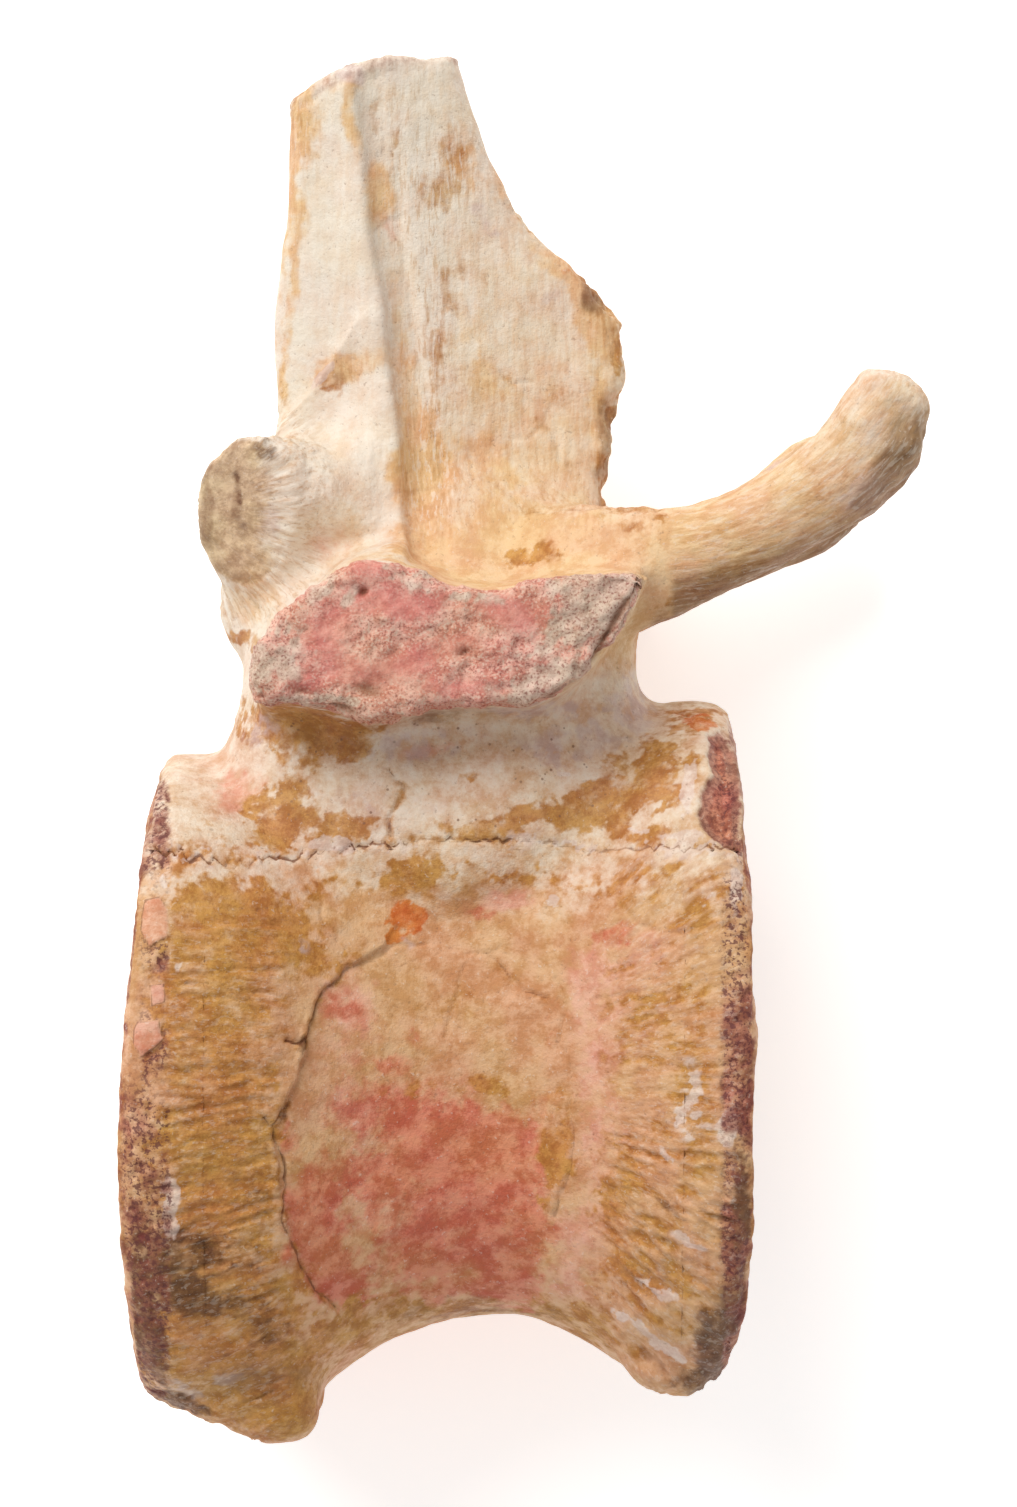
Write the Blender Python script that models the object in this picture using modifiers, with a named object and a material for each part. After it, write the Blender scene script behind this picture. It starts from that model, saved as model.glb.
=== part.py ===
"""A spinosaur's tail vertebra, fossil and broken, lying on its left side.

The bone is drawn in its own axes: X runs forward along the tail, Y runs up towards the neural
spine, and Z runs out of the bone's right side, which lies on top. Each anatomical part starts as
a lofted cage. The cages are fused into one smooth bone, and thin cuts part the bone into named
pieces, one of them along the real suture under the neural arch. Last the bone is moved so that
it rests on the floor over the origin. Sizes are in millimetres until a mesh is made.
"""

import math

import bmesh
import bpy
from mathutils import Vector, noise

MM = 0.001
SIDES = ((1, "right"), (-1, "left"))

# Centrum, the spool that carries the arch
CENTRUM_BACK = -84.5
CENTRUM_FRONT = 47.0
FACE_HALF_WIDTH = 62.0
WAIST_HALF_WIDTH = 39.0
BACK_FACE_TOP, BACK_FACE_BOTTOM = 1.0, -146.0
FRONT_FACE_TOP, FRONT_FACE_BOTTOM = 12.0, -141.5
BACK_LEAN_TOP, BACK_LEAN_BOTTOM = 5.2, 1.0
FRONT_LEAN_TOP, FRONT_LEAN_BOTTOM = -1.6, -4.2
LEAN_MIDDLE = -98.0
LEAN_REACH = 30.0
FACE_DISH = 6.5
FACE_BULGE = 3.0
LIP_SPREAD = 15.0

# Neural arch and what grows from it
CANAL_HALF_WIDTH, CANAL_HALF_HEIGHT = 9.0, 9.5
CANAL_BACK = Vector((-90.0, 6.0, 0.0))
CANAL_FRONT = Vector((60.0, 22.0, 0.0))
WALL_HOLLOW = 0.10
WALL_HOLLOWS = ((-38.0, 9.0), (10.0, 11.0))
STUMP_REACH = {"right": 56.0, "left": 60.4}
STUMP_CENTRE = (-18.0, 23.0)
SPINE_TOP = 152.4
SPINE_BREAK = ((-60.0, 136.5), (-51.5, 141.8), (-38.6, 149.0), (-28.7, 152.2), (-10.0, 152.7))
FACET_LEAN = (0.39, 0.30)

# How the fused bone is made
VOXEL = 1.9
SMOOTH_PASSES = 3
TRIANGLES = 8600
SECTION_POINTS = 16
UNEVENNESS = 0.45
FRACTURE_RELIEF = 1.3
REST_LEVEL = 59.0

# How it is parted: the gap, and where the cuts run
CUT = 0.3
SUTURE_Y = -22.5
SUTURE_SPAN = (-96.0, 58.0)
SUTURE_TOOTH = 1.4
SUTURE_TEETH = 14
SUTURE_ACROSS = (0.0, 11.0, 14.5, 18.0, 21.5, 25.0, 50.0, 76.0)
SADDLE_INNER, SADDLE_OUTER = 11.0, 25.0
SADDLE_BELOW_AXIS = 3.0
SPINE_CUT_Y = 70.0
ARM_CUT_X = 29.5
STUMP_CUT_Z = 40.0
JOINT_CUT_X, JOINT_CUT_Y = -54.5, 28.0
MIDDLE_CUT_Y = 14.0  # inside the canal all along, so that the cut opens into it

# Middle of each piece, by which the cut pieces get their names
PIECES = {
    "centrum": (-18.0, -72.0, 0.0),
    "neural_arch_right": (-18.0, 23.0, 20.0),
    "neural_arch_left": (-18.0, 23.0, -20.0),
    "neural_spine": (-22.0, 103.0, 0.0),
    "prezygapophysis_right": (55.0, 52.0, 26.0),
    "prezygapophysis_left": (55.0, 52.0, -26.0),
    "postzygapophysis_right": (-61.0, 48.0, 13.0),
    "postzygapophysis_left": (-61.0, 48.0, -13.0),
    "transverse_process_right": (-18.0, 22.0, 50.0),
    "transverse_process_left": (-18.0, 22.0, -50.0),
}

# Plain colour and roughness of each part, as the photo shows them
FINISHES = {
    "centrum": ((0.46, 0.28, 0.14), 0.66),
    "neural_arch": ((0.55, 0.38, 0.22), 0.62),
    "neural_spine": ((0.70, 0.58, 0.42), 0.58),
    "prezygapophysis": ((0.64, 0.48, 0.29), 0.6),
    "postzygapophysis": ((0.47, 0.32, 0.19), 0.68),
    "transverse_process": ((0.48, 0.20, 0.15), 0.9),
}


def clear_scene():
    for obj in list(bpy.data.objects):
        bpy.data.objects.remove(obj, do_unlink=True)


def bone_material(name):
    """The plain Principled finish of one part."""
    color, roughness = FINISHES[name.removesuffix("_right").removesuffix("_left")]
    material = bpy.data.materials.new(name)
    material.use_nodes = True
    shader = material.node_tree.nodes["Principled BSDF"]
    shader.inputs["Base Color"].default_value = (*color, 1.0)
    shader.inputs["Roughness"].default_value = roughness
    shader.inputs["Metallic"].default_value = 0.0
    return material


def mesh_object(name, mesh, collection):
    obj = bpy.data.objects.new(name, mesh)
    collection.objects.link(obj)
    return obj


def object_from(shape, name, collection):
    """Turns an edit mesh into an object and frees it."""
    mesh = bpy.data.meshes.new(name)
    shape.to_mesh(mesh)
    shape.free()
    return mesh_object(name, mesh, collection)


def loft(name, rings, collection, rounds=2):
    """A closed cage through rings of points in millimetres, softened by Subdivision Surface."""
    shape = bmesh.new()
    rows = [[shape.verts.new([c * MM for c in point]) for point in ring] for ring in rings]
    count = len(rows[0])
    for low, high in zip(rows, rows[1:]):
        for i in range(count):
            j = (i + 1) % count
            shape.faces.new((low[i], low[j], high[j], high[i]))
    shape.faces.new(rows[0][::-1])
    shape.faces.new(rows[-1])
    bmesh.ops.recalc_face_normals(shape, faces=shape.faces)
    obj = object_from(shape, name, collection)
    if rounds:
        soft = obj.modifiers.new("Soften", "SUBSURF")
        soft.levels = rounds
        soft.render_levels = rounds
    return obj


def oval(half_a, half_b, power, count=SECTION_POINTS):
    """Points of a superellipse: power 2 is an ellipse, and more is squarer."""
    points = []
    for i in range(count):
        angle = math.tau * i / count
        c, s = math.cos(angle), math.sin(angle)
        a = half_a * math.copysign(abs(c) ** (2 / power), c)
        b = half_b * math.copysign(abs(s) ** (2 / power), s)
        points.append((a, b))
    return points


def blend(a, b, share):
    return a + (b - a) * share


def face_lean(x, y, out):
    """How far the rim near either face leans along X, as the real faces aren't upright planes."""
    at_front = x > (CENTRUM_BACK + CENTRUM_FRONT) / 2
    face = CENTRUM_FRONT if at_front else CENTRUM_BACK
    share = max(0.0, 1 - abs(x - face) / LEAN_REACH)
    top = FRONT_LEAN_TOP if at_front else BACK_LEAN_TOP
    bottom = FRONT_LEAN_BOTTOM if at_front else BACK_LEAN_BOTTOM
    if y > LEAN_MIDDLE:
        lean = top * ((y - LEAN_MIDDLE) / (FRONT_FACE_TOP - LEAN_MIDDLE)) ** 1.2
    else:
        lean = bottom * ((LEAN_MIDDLE - y) / (LEAN_MIDDLE - BACK_FACE_BOTTOM)) ** 2
    bulge = FACE_BULGE if at_front else -FACE_BULGE
    return share * (lean + bulge * (out / FACE_HALF_WIDTH) ** 2)


def centrum_ring(x, top, bottom, half_width, share=1.0, power=2.25):
    middle, half = (top + bottom) / 2, (top - bottom) / 2
    ring = []
    for a, out in oval(half * share, half_width * share, power):
        y = middle + a
        ring.append((x + face_lean(x, y, out), y, out))
    return ring


def centrum_cage(collection):
    """Rings along the spool, from the dish of the back face to the dish of the front face."""
    back = (BACK_FACE_TOP, BACK_FACE_BOTTOM, FACE_HALF_WIDTH)
    front = (FRONT_FACE_TOP, FRONT_FACE_BOTTOM, FACE_HALF_WIDTH)
    dish = ((0.22, FACE_DISH), (0.6, FACE_DISH * 0.75), (0.86, 1.2), (0.96, 0.0))
    rings = [centrum_ring(CENTRUM_BACK + depth, *back, share) for share, depth in dish]
    for x, top, bottom, flare in (
        (-81.0, 1.0, -146.0, 1.0),
        (-72.0, 0.0, -147.0, 0.965),
        (-60.0, -2.0, -147.5, 0.80),
        (-48.0, -6.0, -144.0, 0.52),
        (-38.0, -8.0, -136.5, 0.27),
        (-26.0, -8.0, -129.3, 0.08),
        (-12.0, -6.0, -126.0, 0.0),
        (2.0, -2.0, -126.5, 0.08),
        (14.0, 5.0, -132.3, 0.30),
        (25.0, 11.0, -139.5, 0.62),
        (35.0, 12.8, -142.5, 0.90),
        (43.0, 12.0, -141.0, 1.0),
    ):
        rings.append(centrum_ring(x, top, bottom, blend(WAIST_HALF_WIDTH, FACE_HALF_WIDTH, flare)))
    rings += [centrum_ring(CENTRUM_FRONT - depth, *front, share) for share, depth in dish[::-1]]
    loft("centrum_cage", rings, collection)


def lip_cage(side, collection):
    """The lobes under the two faces, where the chevron bones sat."""
    for lobe in (
        ((-80.0, -141.0, 9.0), (-70.0, -147.2, 13.0), (-58.0, -151.2, 16.0), (-48.0, -151.6, 13.5),
         (-44.5, -148.5, 9.0)),
        ((20.0, -136.0, 9.0), (28.0, -141.2, 12.0), (35.0, -142.4, 13.0), (42.0, -137.5, 9.0)),
    ):
        rings = []
        for x, low, half in lobe:
            rings.append([(x, low + half + a, side * LIP_SPREAD + b) for a, b in oval(half, half, 2.3)])
        loft("lip_cage", rings, collection, rounds=1)


def wall_hollow(x):
    """How far the pedicle's wall sinks at a place along it, as a share of its half width."""
    return sum(WALL_HOLLOW * math.exp(-(((x - at) / wide) ** 2)) for at, wide in WALL_HOLLOWS)


def arch_cage(collection):
    """The pedicles and the roof over the canal as one block, drilled for the canal later."""
    rings = []
    for y, back, front, half_width, power in (
        (-40.0, -62.0, 30.0, 36.0, 2.6),
        (-24.0, -68.0, 36.0, 42.0, 2.6),
        (-10.0, -70.0, 36.0, 40.5, 2.8),
        (1.0, -66.0, 31.0, 36.0, 3.0),
        (12.0, -62.5, 25.4, 33.5, 3.2),
        (21.0, -62.0, 24.6, 33.0, 3.2),
        (31.0, -60.5, 26.6, 30.0, 2.8),
        (40.0, -58.5, 27.0, 25.0, 2.5),
        (52.0, -52.0, 20.0, 17.0, 2.3),
        (64.0, -46.0, 6.0, 11.0, 2.2),
    ):
        middle, half = (back + front) / 2, (front - back) / 2
        ring = []
        for a, b in oval(half, half_width, power, 24):
            ring.append((middle + a, y, b * (1 - wall_hollow(middle + a))))
        rings.append(ring)
    loft("arch_cage", rings, collection)


def stump_cage(side, word, collection):
    """The broken root of a transverse process: the outline of its fracture, drawn out sideways."""
    outline = (
        (-58.9, 13.5), (-58.5, 18.5), (-54.3, 24.9), (-47.4, 31.2), (-41.2, 36.8), (-32.8, 39.7),
        (-24.9, 38.2), (-17.1, 34.0), (-8.8, 33.0), (0.6, 34.3), (11.1, 36.0), (20.5, 37.4),
        (27.2, 36.2), (21.3, 25.3), (15.5, 18.0), (9.4, 11.9), (1.7, 8.1), (-9.8, 8.4),
        (-20.3, 7.6), (-30.7, 4.7), (-38.0, 5.9), (-47.4, 8.4), (-57.8, 9.2),
    )
    middle_x, middle_y = STUMP_CENTRE
    reach = STUMP_REACH[word]
    rings = []
    for depth, wide, tall, sink in (
        (6.0, 0.96, 1.30, 2.0),
        (20.0, 0.97, 1.35, 1.5),
        (30.0, 0.97, 1.22, 0.5),
        (38.0, 0.98, 1.06, 0.0),
        (45.0, 0.99, 1.0, 0.0),
        (reach - 1.4, 1.0, 1.0, 0.0),
        (reach, 0.975, 0.95, 0.0),
    ):
        ring = []
        for x, y in outline:
            tilt = 0.05 * (y - middle_y)
            at_x = middle_x + (x - middle_x) * wide
            at_y = middle_y + (y - middle_y) * tall - sink
            ring.append((at_x, at_y, side * (depth - tilt)))
        rings.append(ring)
    loft("stump_cage", rings, collection, rounds=0)


def spine_section(back, back_half, ridge, ridge_half, front, front_half):
    """Half of a section across the neural spine, from its back edge over the ridge to the front."""
    wing = ridge_half - front_half
    slope = ridge_half - back_half
    return (
        (back, back_half * 0.55),
        (back + 2.5, back_half),
        (blend(back, ridge, 0.5), back_half + 0.34 * slope),
        (ridge - 3.0, back_half + 0.80 * slope),
        (ridge, ridge_half),
        (ridge + 3.0, front_half + 0.72 * wing),
        (ridge + 8.0, front_half + 0.60 * wing),
        (blend(ridge, front, 0.52), front_half + 0.18 * wing),
        (front - 2.5, front_half),
        (front, front_half * 0.6),
    )


def spine_break(x):
    """Height of the spine's broken top at a place along it."""
    for (x0, y0), (x1, y1) in zip(SPINE_BREAK, SPINE_BREAK[1:]):
        if x <= x1:
            return blend(y0, y1, (x - x0) / (x1 - x0))
    return SPINE_BREAK[-1][1]


def spine_ring(y, half, inset):
    """A whole section of the spine from its right half, drawn in towards its middle by a share."""
    middle = (half[0][0] + half[-1][0]) / 2
    ring = []
    for points, side in ((half, 1), (half[::-1], -1)):
        for x, z in points:
            at_x = blend(x, middle, inset)
            ring.append((at_x, min(y, spine_break(at_x)), side * z * (1 - inset)))
    return ring


def spine_cage(collection):
    """The neural spine: a tall plate with a stout ridge on each side and a thin ragged front."""
    rings = []
    for y, *sizes in (
        (34.0, -57.5, 11.0, -26.5, 21.0, 24.5, 13.0),
        (44.0, -57.0, 10.0, -27.0, 19.5, 22.5, 10.5),
        (53.0, -55.8, 8.0, -27.5, 17.5, 17.4, 7.5),
        (62.0, -54.8, 7.0, -28.2, 15.8, 17.6, 5.8),
        (72.0, -54.8, 6.5, -29.6, 14.6, 19.4, 5.0),
        (82.0, -55.4, 6.3, -31.0, 14.0, 21.4, 4.8),
        (89.0, -55.8, 6.2, -32.0, 13.6, 22.4, 4.8),
        (94.5, -55.8, 6.1, -32.6, 13.4, 22.6, 5.0),
        (98.0, -55.4, 6.0, -33.0, 13.3, 16.8, 5.2),
        (105.0, -54.6, 6.0, -33.8, 13.1, 13.0, 5.4),
        (107.6, -54.2, 6.0, -34.2, 13.0, 5.6, 5.6),
        (116.0, -53.2, 6.0, -35.2, 12.7, -1.4, 6.0),
        (128.0, -52.4, 6.2, -36.5, 12.3, -7.1, 6.4),
        (139.0, -52.4, 6.4, -37.6, 12.0, -11.3, 6.8),
        (147.0, -52.4, 6.4, -38.2, 11.8, -14.0, 6.8),
        (SPINE_TOP - 1.2, -52.4, 6.4, -38.4, 11.6, -14.8, 6.8),
    ):
        rings.append(spine_ring(y, spine_section(*sizes), 0.0))
    top = spine_section(-52.4, 6.4, -38.4, 11.6, -14.8, 6.8)
    rings.append([(x, y + 1.2, z) for x, y, z in spine_ring(SPINE_TOP - 1.2, top, 0.08)])
    loft("spine_cage", rings, collection, rounds=1)


def back_joint_cages(side, collection):
    """A postzygapophysis: a wedge that ends in an oval facet facing out, down and back."""
    rings = []
    for depth, x, y, half_x, half_y, lean in (
        (2.0, -46.0, 46.0, 14.0, 21.0, 0.2),
        (10.0, -52.0, 48.0, 15.0, 20.0, 0.6),
        (18.0, -58.5, 50.0, 13.2, 17.8, 1.0),
        (23.5, -60.8, 50.6, 12.0, 16.8, 1.0),
        (24.3, -60.8, 50.6, 11.0, 15.8, 1.0),
    ):
        ring = []
        for a, b in oval(half_x, half_y, 2.0):
            out = depth + lean * (FACET_LEAN[0] * a + FACET_LEAN[1] * b)
            ring.append((x + a, y + b, side * max(out, 1.0)))
        rings.append(ring)
    loft("postzygapophysis_cage", rings, collection, rounds=1)
    rings = []
    for depth, half_x, half_y in ((-1.0, 11.0, 13.0), (8.0, 10.5, 12.0), (14.0, 7.0, 8.0)):
        rings.append([(-57.2 + a, 31.0 + b, side * depth) for a, b in oval(half_x, half_y, 2.6)])
    loft("hyposphene_cage", rings, collection, rounds=1)
    rings = []
    for y, x, depth, half_x in (
        (30.0, -40.0, 24.0, 16.0),
        (44.0, -42.0, 20.0, 15.0),
        (58.0, -45.0, 13.0, 12.0),
        (76.0, -50.0, 6.0, 6.0),
    ):
        rings.append([(x + a, y, side * (depth / 2 + b)) for a, b in oval(half_x, depth / 2, 2.2)])
    loft("shoulder_cage", rings, collection, rounds=1)


def front_joint_cage(side, word, collection):
    """A prezygapophysis: a stout arm that reaches forward and up, flatter on its inner side."""
    root = (
        (-6.0, 33.0, 12.0, 16.0, 14.0, 0.0),
        (8.0, 36.5, 15.0, 17.0, 13.5, 4.0),
        (20.5, 38.6, 18.5, 14.8, 12.5, 8.0),
        (31.0, 40.0, 22.0, 11.9, 11.0, 14.0),
    )
    right = root + (
        (44.0, 44.6, 26.0, 10.4, 10.5, 24.0),
        (60.5, 52.6, 30.0, 10.2, 11.0, 32.0),
        (70.5, 60.2, 32.5, 11.2, 11.5, 42.0),
        (76.6, 68.6, 34.0, 11.4, 11.0, 52.0),
        (79.0, 76.0, 34.5, 9.2, 9.0, 62.0),
        (80.0, 79.8, 34.5, 6.0, 5.5, 68.0),
    )
    left = root + (
        (44.0, 45.2, 26.0, 10.7, 10.5, 24.0),
        (57.0, 50.2, 29.0, 11.0, 11.0, 28.0),
        (66.0, 57.8, 31.0, 13.6, 10.5, 34.0),
        (73.0, 63.5, 32.0, 11.0, 8.5, 42.0),
        (76.5, 66.5, 32.0, 6.0, 5.0, 45.0),
    )
    rings = []
    for x, y, depth, half_tall, half_deep, heading in right if side > 0 else left:
        turn = math.radians(heading + 90.0)
        ring = []
        for a, b in oval(half_tall, half_deep, 2.2):
            inner = 0.62 if b < 0 else 1.0
            ring.append((x + a * math.cos(turn), y + a * math.sin(turn), side * (depth + b * inner)))
        rings.append(ring)
    loft(f"prezygapophysis_cage_{word}", rings, collection, rounds=1)


def evaluated_mesh(obj):
    """The object's mesh as its modifiers leave it."""
    graph = bpy.context.evaluated_depsgraph_get()
    return bpy.data.meshes.new_from_object(obj.evaluated_get(graph))


def bake_modifiers(obj):
    """Replaces the object's mesh by what its modifiers make of it."""
    bpy.context.view_layer.update()
    mesh = evaluated_mesh(obj)
    obj.modifiers.clear()
    old = obj.data
    obj.data = mesh
    bpy.data.meshes.remove(old)


def join_cages(cages, collection):
    """All the cages' soft surfaces as loose shells of one mesh."""
    bpy.context.view_layer.update()
    shape = bmesh.new()
    for cage in list(cages.objects):
        mesh = evaluated_mesh(cage)
        shape.from_mesh(mesh)
        bpy.data.meshes.remove(mesh)
        bpy.data.objects.remove(cage, do_unlink=True)
    return object_from(shape, "bone", collection)


def fuse(obj):
    """One closed skin around everything in the mesh."""
    skin = obj.modifiers.new("Fuse", "REMESH")
    skin.mode = "VOXEL"
    skin.voxel_size = VOXEL * MM
    bake_modifiers(obj)


def as_cutter(obj, name, cutters):
    obj.name = name
    for home in list(obj.users_collection):
        home.objects.unlink(obj)
    cutters.objects.link(obj)
    obj.hide_render = True
    obj.display_type = "WIRE"
    return obj


def cut_with(bone, cutter):
    cut = bone.modifiers.new(cutter.name, "BOOLEAN")
    cut.operation = "DIFFERENCE"
    cut.object = cutter
    bake_modifiers(bone)


def drill_canal(bone, cutters):
    """The neural canal, an oval tunnel through the arch along the back's line."""
    run = CANAL_FRONT - CANAL_BACK
    bpy.ops.mesh.primitive_cylinder_add(
        vertices=24,
        radius=1.0,
        depth=run.length * MM,
        location=(CANAL_BACK + run / 2) * MM,
        rotation=run.to_track_quat("Z", "Y").to_euler(),
    )
    drill = as_cutter(bpy.context.object, "canal_cutter", cutters)
    drill.scale = (CANAL_HALF_HEIGHT * MM, CANAL_HALF_WIDTH * MM, 1.0)
    cut_with(bone, drill)


def roughen(bone):
    """Old bone is uneven all over, and where it broke off it has a coarse relief."""
    mesh = bone.data
    moves = []
    for vertex in mesh.vertices:
        at = vertex.co / MM
        move = vertex.normal * noise.noise(at * 0.045) * UNEVENNESS
        in_stump = -64 < at.x < 30 and -2 < at.y < 46 and abs(at.z) > STUMP_CUT_Z
        word = "right" if at.z > 0 else "left"
        if in_stump and abs(at.z) > STUMP_REACH[word] - 4.5:
            relief = noise.noise(at * 0.10) + 0.5 * noise.noise(at * 0.23)
            move += Vector((0.0, 0.0, math.copysign(relief * FRACTURE_RELIEF, at.z)))
        if at.y > spine_break(at.x) - 5.5:
            move += Vector((0.0, noise.noise(at * 0.16) * FRACTURE_RELIEF, 0.0))
        moves.append(move * MM)
    for vertex, move in zip(mesh.vertices, moves):
        vertex.co += move


def smooth_and_thin(bone):
    """Melts the joins between the cages, then lowers the mesh to a working number of triangles."""
    melt = bone.modifiers.new("Melt", "SMOOTH")
    melt.factor = 0.5
    melt.iterations = SMOOTH_PASSES
    bake_modifiers(bone)
    roughen(bone)
    bone.data.calc_loop_triangles()
    thin = bone.modifiers.new("Thin", "DECIMATE")
    thin.ratio = TRIANGLES / len(bone.data.loop_triangles)
    thin.use_collapse_triangulate = True
    bake_modifiers(bone)


def wear_flats(bone):
    """Planes off what lies lowest, so that the bone rests on small worn flats at one level."""
    shape = bmesh.new()
    shape.from_mesh(bone.data)
    cut = bmesh.ops.bisect_plane(
        shape,
        geom=shape.verts[:] + shape.edges[:] + shape.faces[:],
        plane_co=(0.0, 0.0, -REST_LEVEL * MM),
        plane_no=(0.0, 0.0, -1.0),
        clear_outer=True,
    )
    rim = [part for part in cut["geom_cut"] if isinstance(part, bmesh.types.BMEdge)]
    bmesh.ops.holes_fill(shape, edges=rim, sides=0)
    bmesh.ops.triangulate(shape, faces=shape.faces)
    bmesh.ops.recalc_face_normals(shape, faces=shape.faces)
    shape.to_mesh(bone.data)
    shape.free()


def box_cutter(name, low, high, cutters):
    """A plain block between two corners."""
    low, high = Vector(low), Vector(high)
    bpy.ops.mesh.primitive_cube_add(size=1.0, location=(low + high) / 2 * MM)
    block = as_cutter(bpy.context.object, name, cutters)
    block.scale = (high - low) * MM
    return block


def shell_cutter(name, low, high, cutters):
    """The thin walls of a block, which part what lies in it from the rest."""
    block = box_cutter(name, low, high, cutters)
    block.data.transform(block.matrix_basis.to_3x3().to_4x4())
    block.scale = (1.0, 1.0, 1.0)
    walls = block.modifiers.new("Gap", "SOLIDIFY")
    walls.thickness = CUT * MM
    walls.offset = 0.0
    bake_modifiers(block)
    return block


def suture_height(x, out, step):
    """The suture runs level along each side and climbs to the canal in between, like a saddle."""
    axis = blend(CANAL_BACK.y, CANAL_FRONT.y, (x - CANAL_BACK.x) / (CANAL_FRONT.x - CANAL_BACK.x))
    rise = (SADDLE_OUTER - abs(out)) / (SADDLE_OUTER - SADDLE_INNER)
    rise = min(1.0, max(0.0, rise))
    rise = rise * rise * (3 - 2 * rise)
    tooth = SUTURE_TOOTH * (1 if step % 2 else -1)
    swing = 1.4 * math.sin(x / 21.0 + 0.8)
    return blend(SUTURE_Y + swing, axis - SADDLE_BELOW_AXIS, rise) + tooth


def suture_cutter(cutters):
    """A thin toothed sheet along the suture between the centrum and the arch."""
    across = [-z for z in SUTURE_ACROSS[:0:-1]] + list(SUTURE_ACROSS)
    steps = 2 * SUTURE_TEETH
    shape = bmesh.new()
    rows = []
    for step in range(steps + 1):
        x = blend(*SUTURE_SPAN, step / steps)
        rows.append([shape.verts.new(Vector((x, suture_height(x, z, step), z)) * MM) for z in across])
    for near, far in zip(rows, rows[1:]):
        for i in range(len(across) - 1):
            shape.faces.new((near[i], near[i + 1], far[i + 1], far[i]))
    sheet = as_cutter(object_from(shape, "suture_cutter", cutters), "suture_cutter", cutters)
    thick = sheet.modifiers.new("Gap", "SOLIDIFY")
    thick.thickness = CUT * MM
    thick.offset = 0.0
    bake_modifiers(sheet)


def piece_cutters(cutters):
    """Where the named parts of the arch meet, each cutter reaching only its own part."""
    half = CUT / 2
    box_cutter(
        "spine_cutter", (-62.0, SPINE_CUT_Y - half, -40.0), (30.0, SPINE_CUT_Y + half, 40.0), cutters
    )
    box_cutter("arm_cutter", (ARM_CUT_X - half, 16.0, -60.0), (ARM_CUT_X + half, 62.0, 60.0), cutters)
    for side, word in SIDES:
        level = side * STUMP_CUT_Z
        box_cutter(
            f"stump_cutter_{word}", (-66.0, -1.0, level - half), (32.0, 48.0, level + half), cutters
        )
    shell_cutter("joint_cutter", (-90.0, JOINT_CUT_Y, -50.0), (JOINT_CUT_X, 69.0, 50.0), cutters)
    box_cutter("middle_cutter", (-95.0, MIDDLE_CUT_Y, -half), (40.0, SPINE_CUT_Y, half), cutters)


def loose_pieces(mesh):
    """The mesh's separate closed surfaces, each as an edit mesh of its own."""
    shape = bmesh.new()
    shape.from_mesh(mesh)
    shape.verts.ensure_lookup_table()
    piece_of = {}
    for start in shape.verts:
        if start.index in piece_of:
            continue
        stack = [start]
        while stack:
            vertex = stack.pop()
            if vertex.index in piece_of:
                continue
            piece_of[vertex.index] = start.index
            stack += [edge.other_vert(vertex) for edge in vertex.link_edges]
    pieces = []
    for key in sorted(set(piece_of.values())):
        piece = shape.copy()
        piece.verts.ensure_lookup_table()
        others = [vertex for vertex in piece.verts if piece_of[vertex.index] != key]
        bmesh.ops.delete(piece, geom=others, context="VERTS")
        pieces.append(piece)
    shape.free()
    return pieces


def piece_name(piece):
    low = Vector([min(v.co[i] for v in piece.verts) for i in range(3)])
    high = Vector([max(v.co[i] for v in piece.verts) for i in range(3)])
    middle = (low + high) / 2 / MM
    return min(PIECES, key=lambda name: (Vector(PIECES[name]) - middle).length)


def lay_over_origin(objects):
    """Moves the meshes so that the whole stands on the floor, centred over the origin."""
    corners = [vertex.co for obj in objects for vertex in obj.data.vertices]
    low = [min(co[i] for co in corners) for i in range(3)]
    high = [max(co[i] for co in corners) for i in range(3)]
    shift = Vector((-(low[0] + high[0]) / 2, -(low[1] + high[1]) / 2, -low[2]))
    for obj in objects:
        for vertex in obj.data.vertices:
            vertex.co += shift
        obj.data.update()
    print("moved by", [round(c / MM, 3) for c in shift])


def main():
    clear_scene()
    bone_parts = bpy.data.collections.new("fossil_vertebra")
    cages = bpy.data.collections.new("cages")
    cutters = bpy.data.collections.new("cutters")
    for collection in (bone_parts, cages, cutters):
        bpy.context.scene.collection.children.link(collection)

    centrum_cage(cages)
    arch_cage(cages)
    spine_cage(cages)
    for side, word in SIDES:
        lip_cage(side, cages)
        stump_cage(side, word, cages)
        back_joint_cages(side, cages)
        front_joint_cage(side, word, cages)

    bone = join_cages(cages, bone_parts)
    fuse(bone)
    drill_canal(bone, cutters)
    fuse(bone)
    smooth_and_thin(bone)
    wear_flats(bone)

    suture_cutter(cutters)
    piece_cutters(cutters)
    for cutter in cutters.objects:
        if cutter.name != "canal_cutter":
            cut_with(bone, cutter)

    parts = []
    for piece in loose_pieces(bone.data):
        name = piece_name(piece)
        bmesh.ops.triangulate(piece, faces=piece.faces)
        part = object_from(piece, name, bone_parts)
        part.data.materials.clear()
        part.data.materials.append(bone_material(name))
        parts.append(part)
        print(part.name, len(part.data.polygons))
    bpy.data.objects.remove(bone, do_unlink=True)
    lay_over_origin(parts)


main()
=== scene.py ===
# %% [markdown]
# # A fossil tail vertebra of a spinosaur
# The real thing is one bone from the front half of a large spinosaur's tail, turned to stone and
# stained by the sand it lay in. It lies on its left side, so we look down on its right side. The
# long spool is the centrum. The arch above it once held the spinal cord, a broad spine grows from
# the arch, and four smaller processes meet the neighbouring bones or have broken off.

# %% Load the frame
import math

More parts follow.
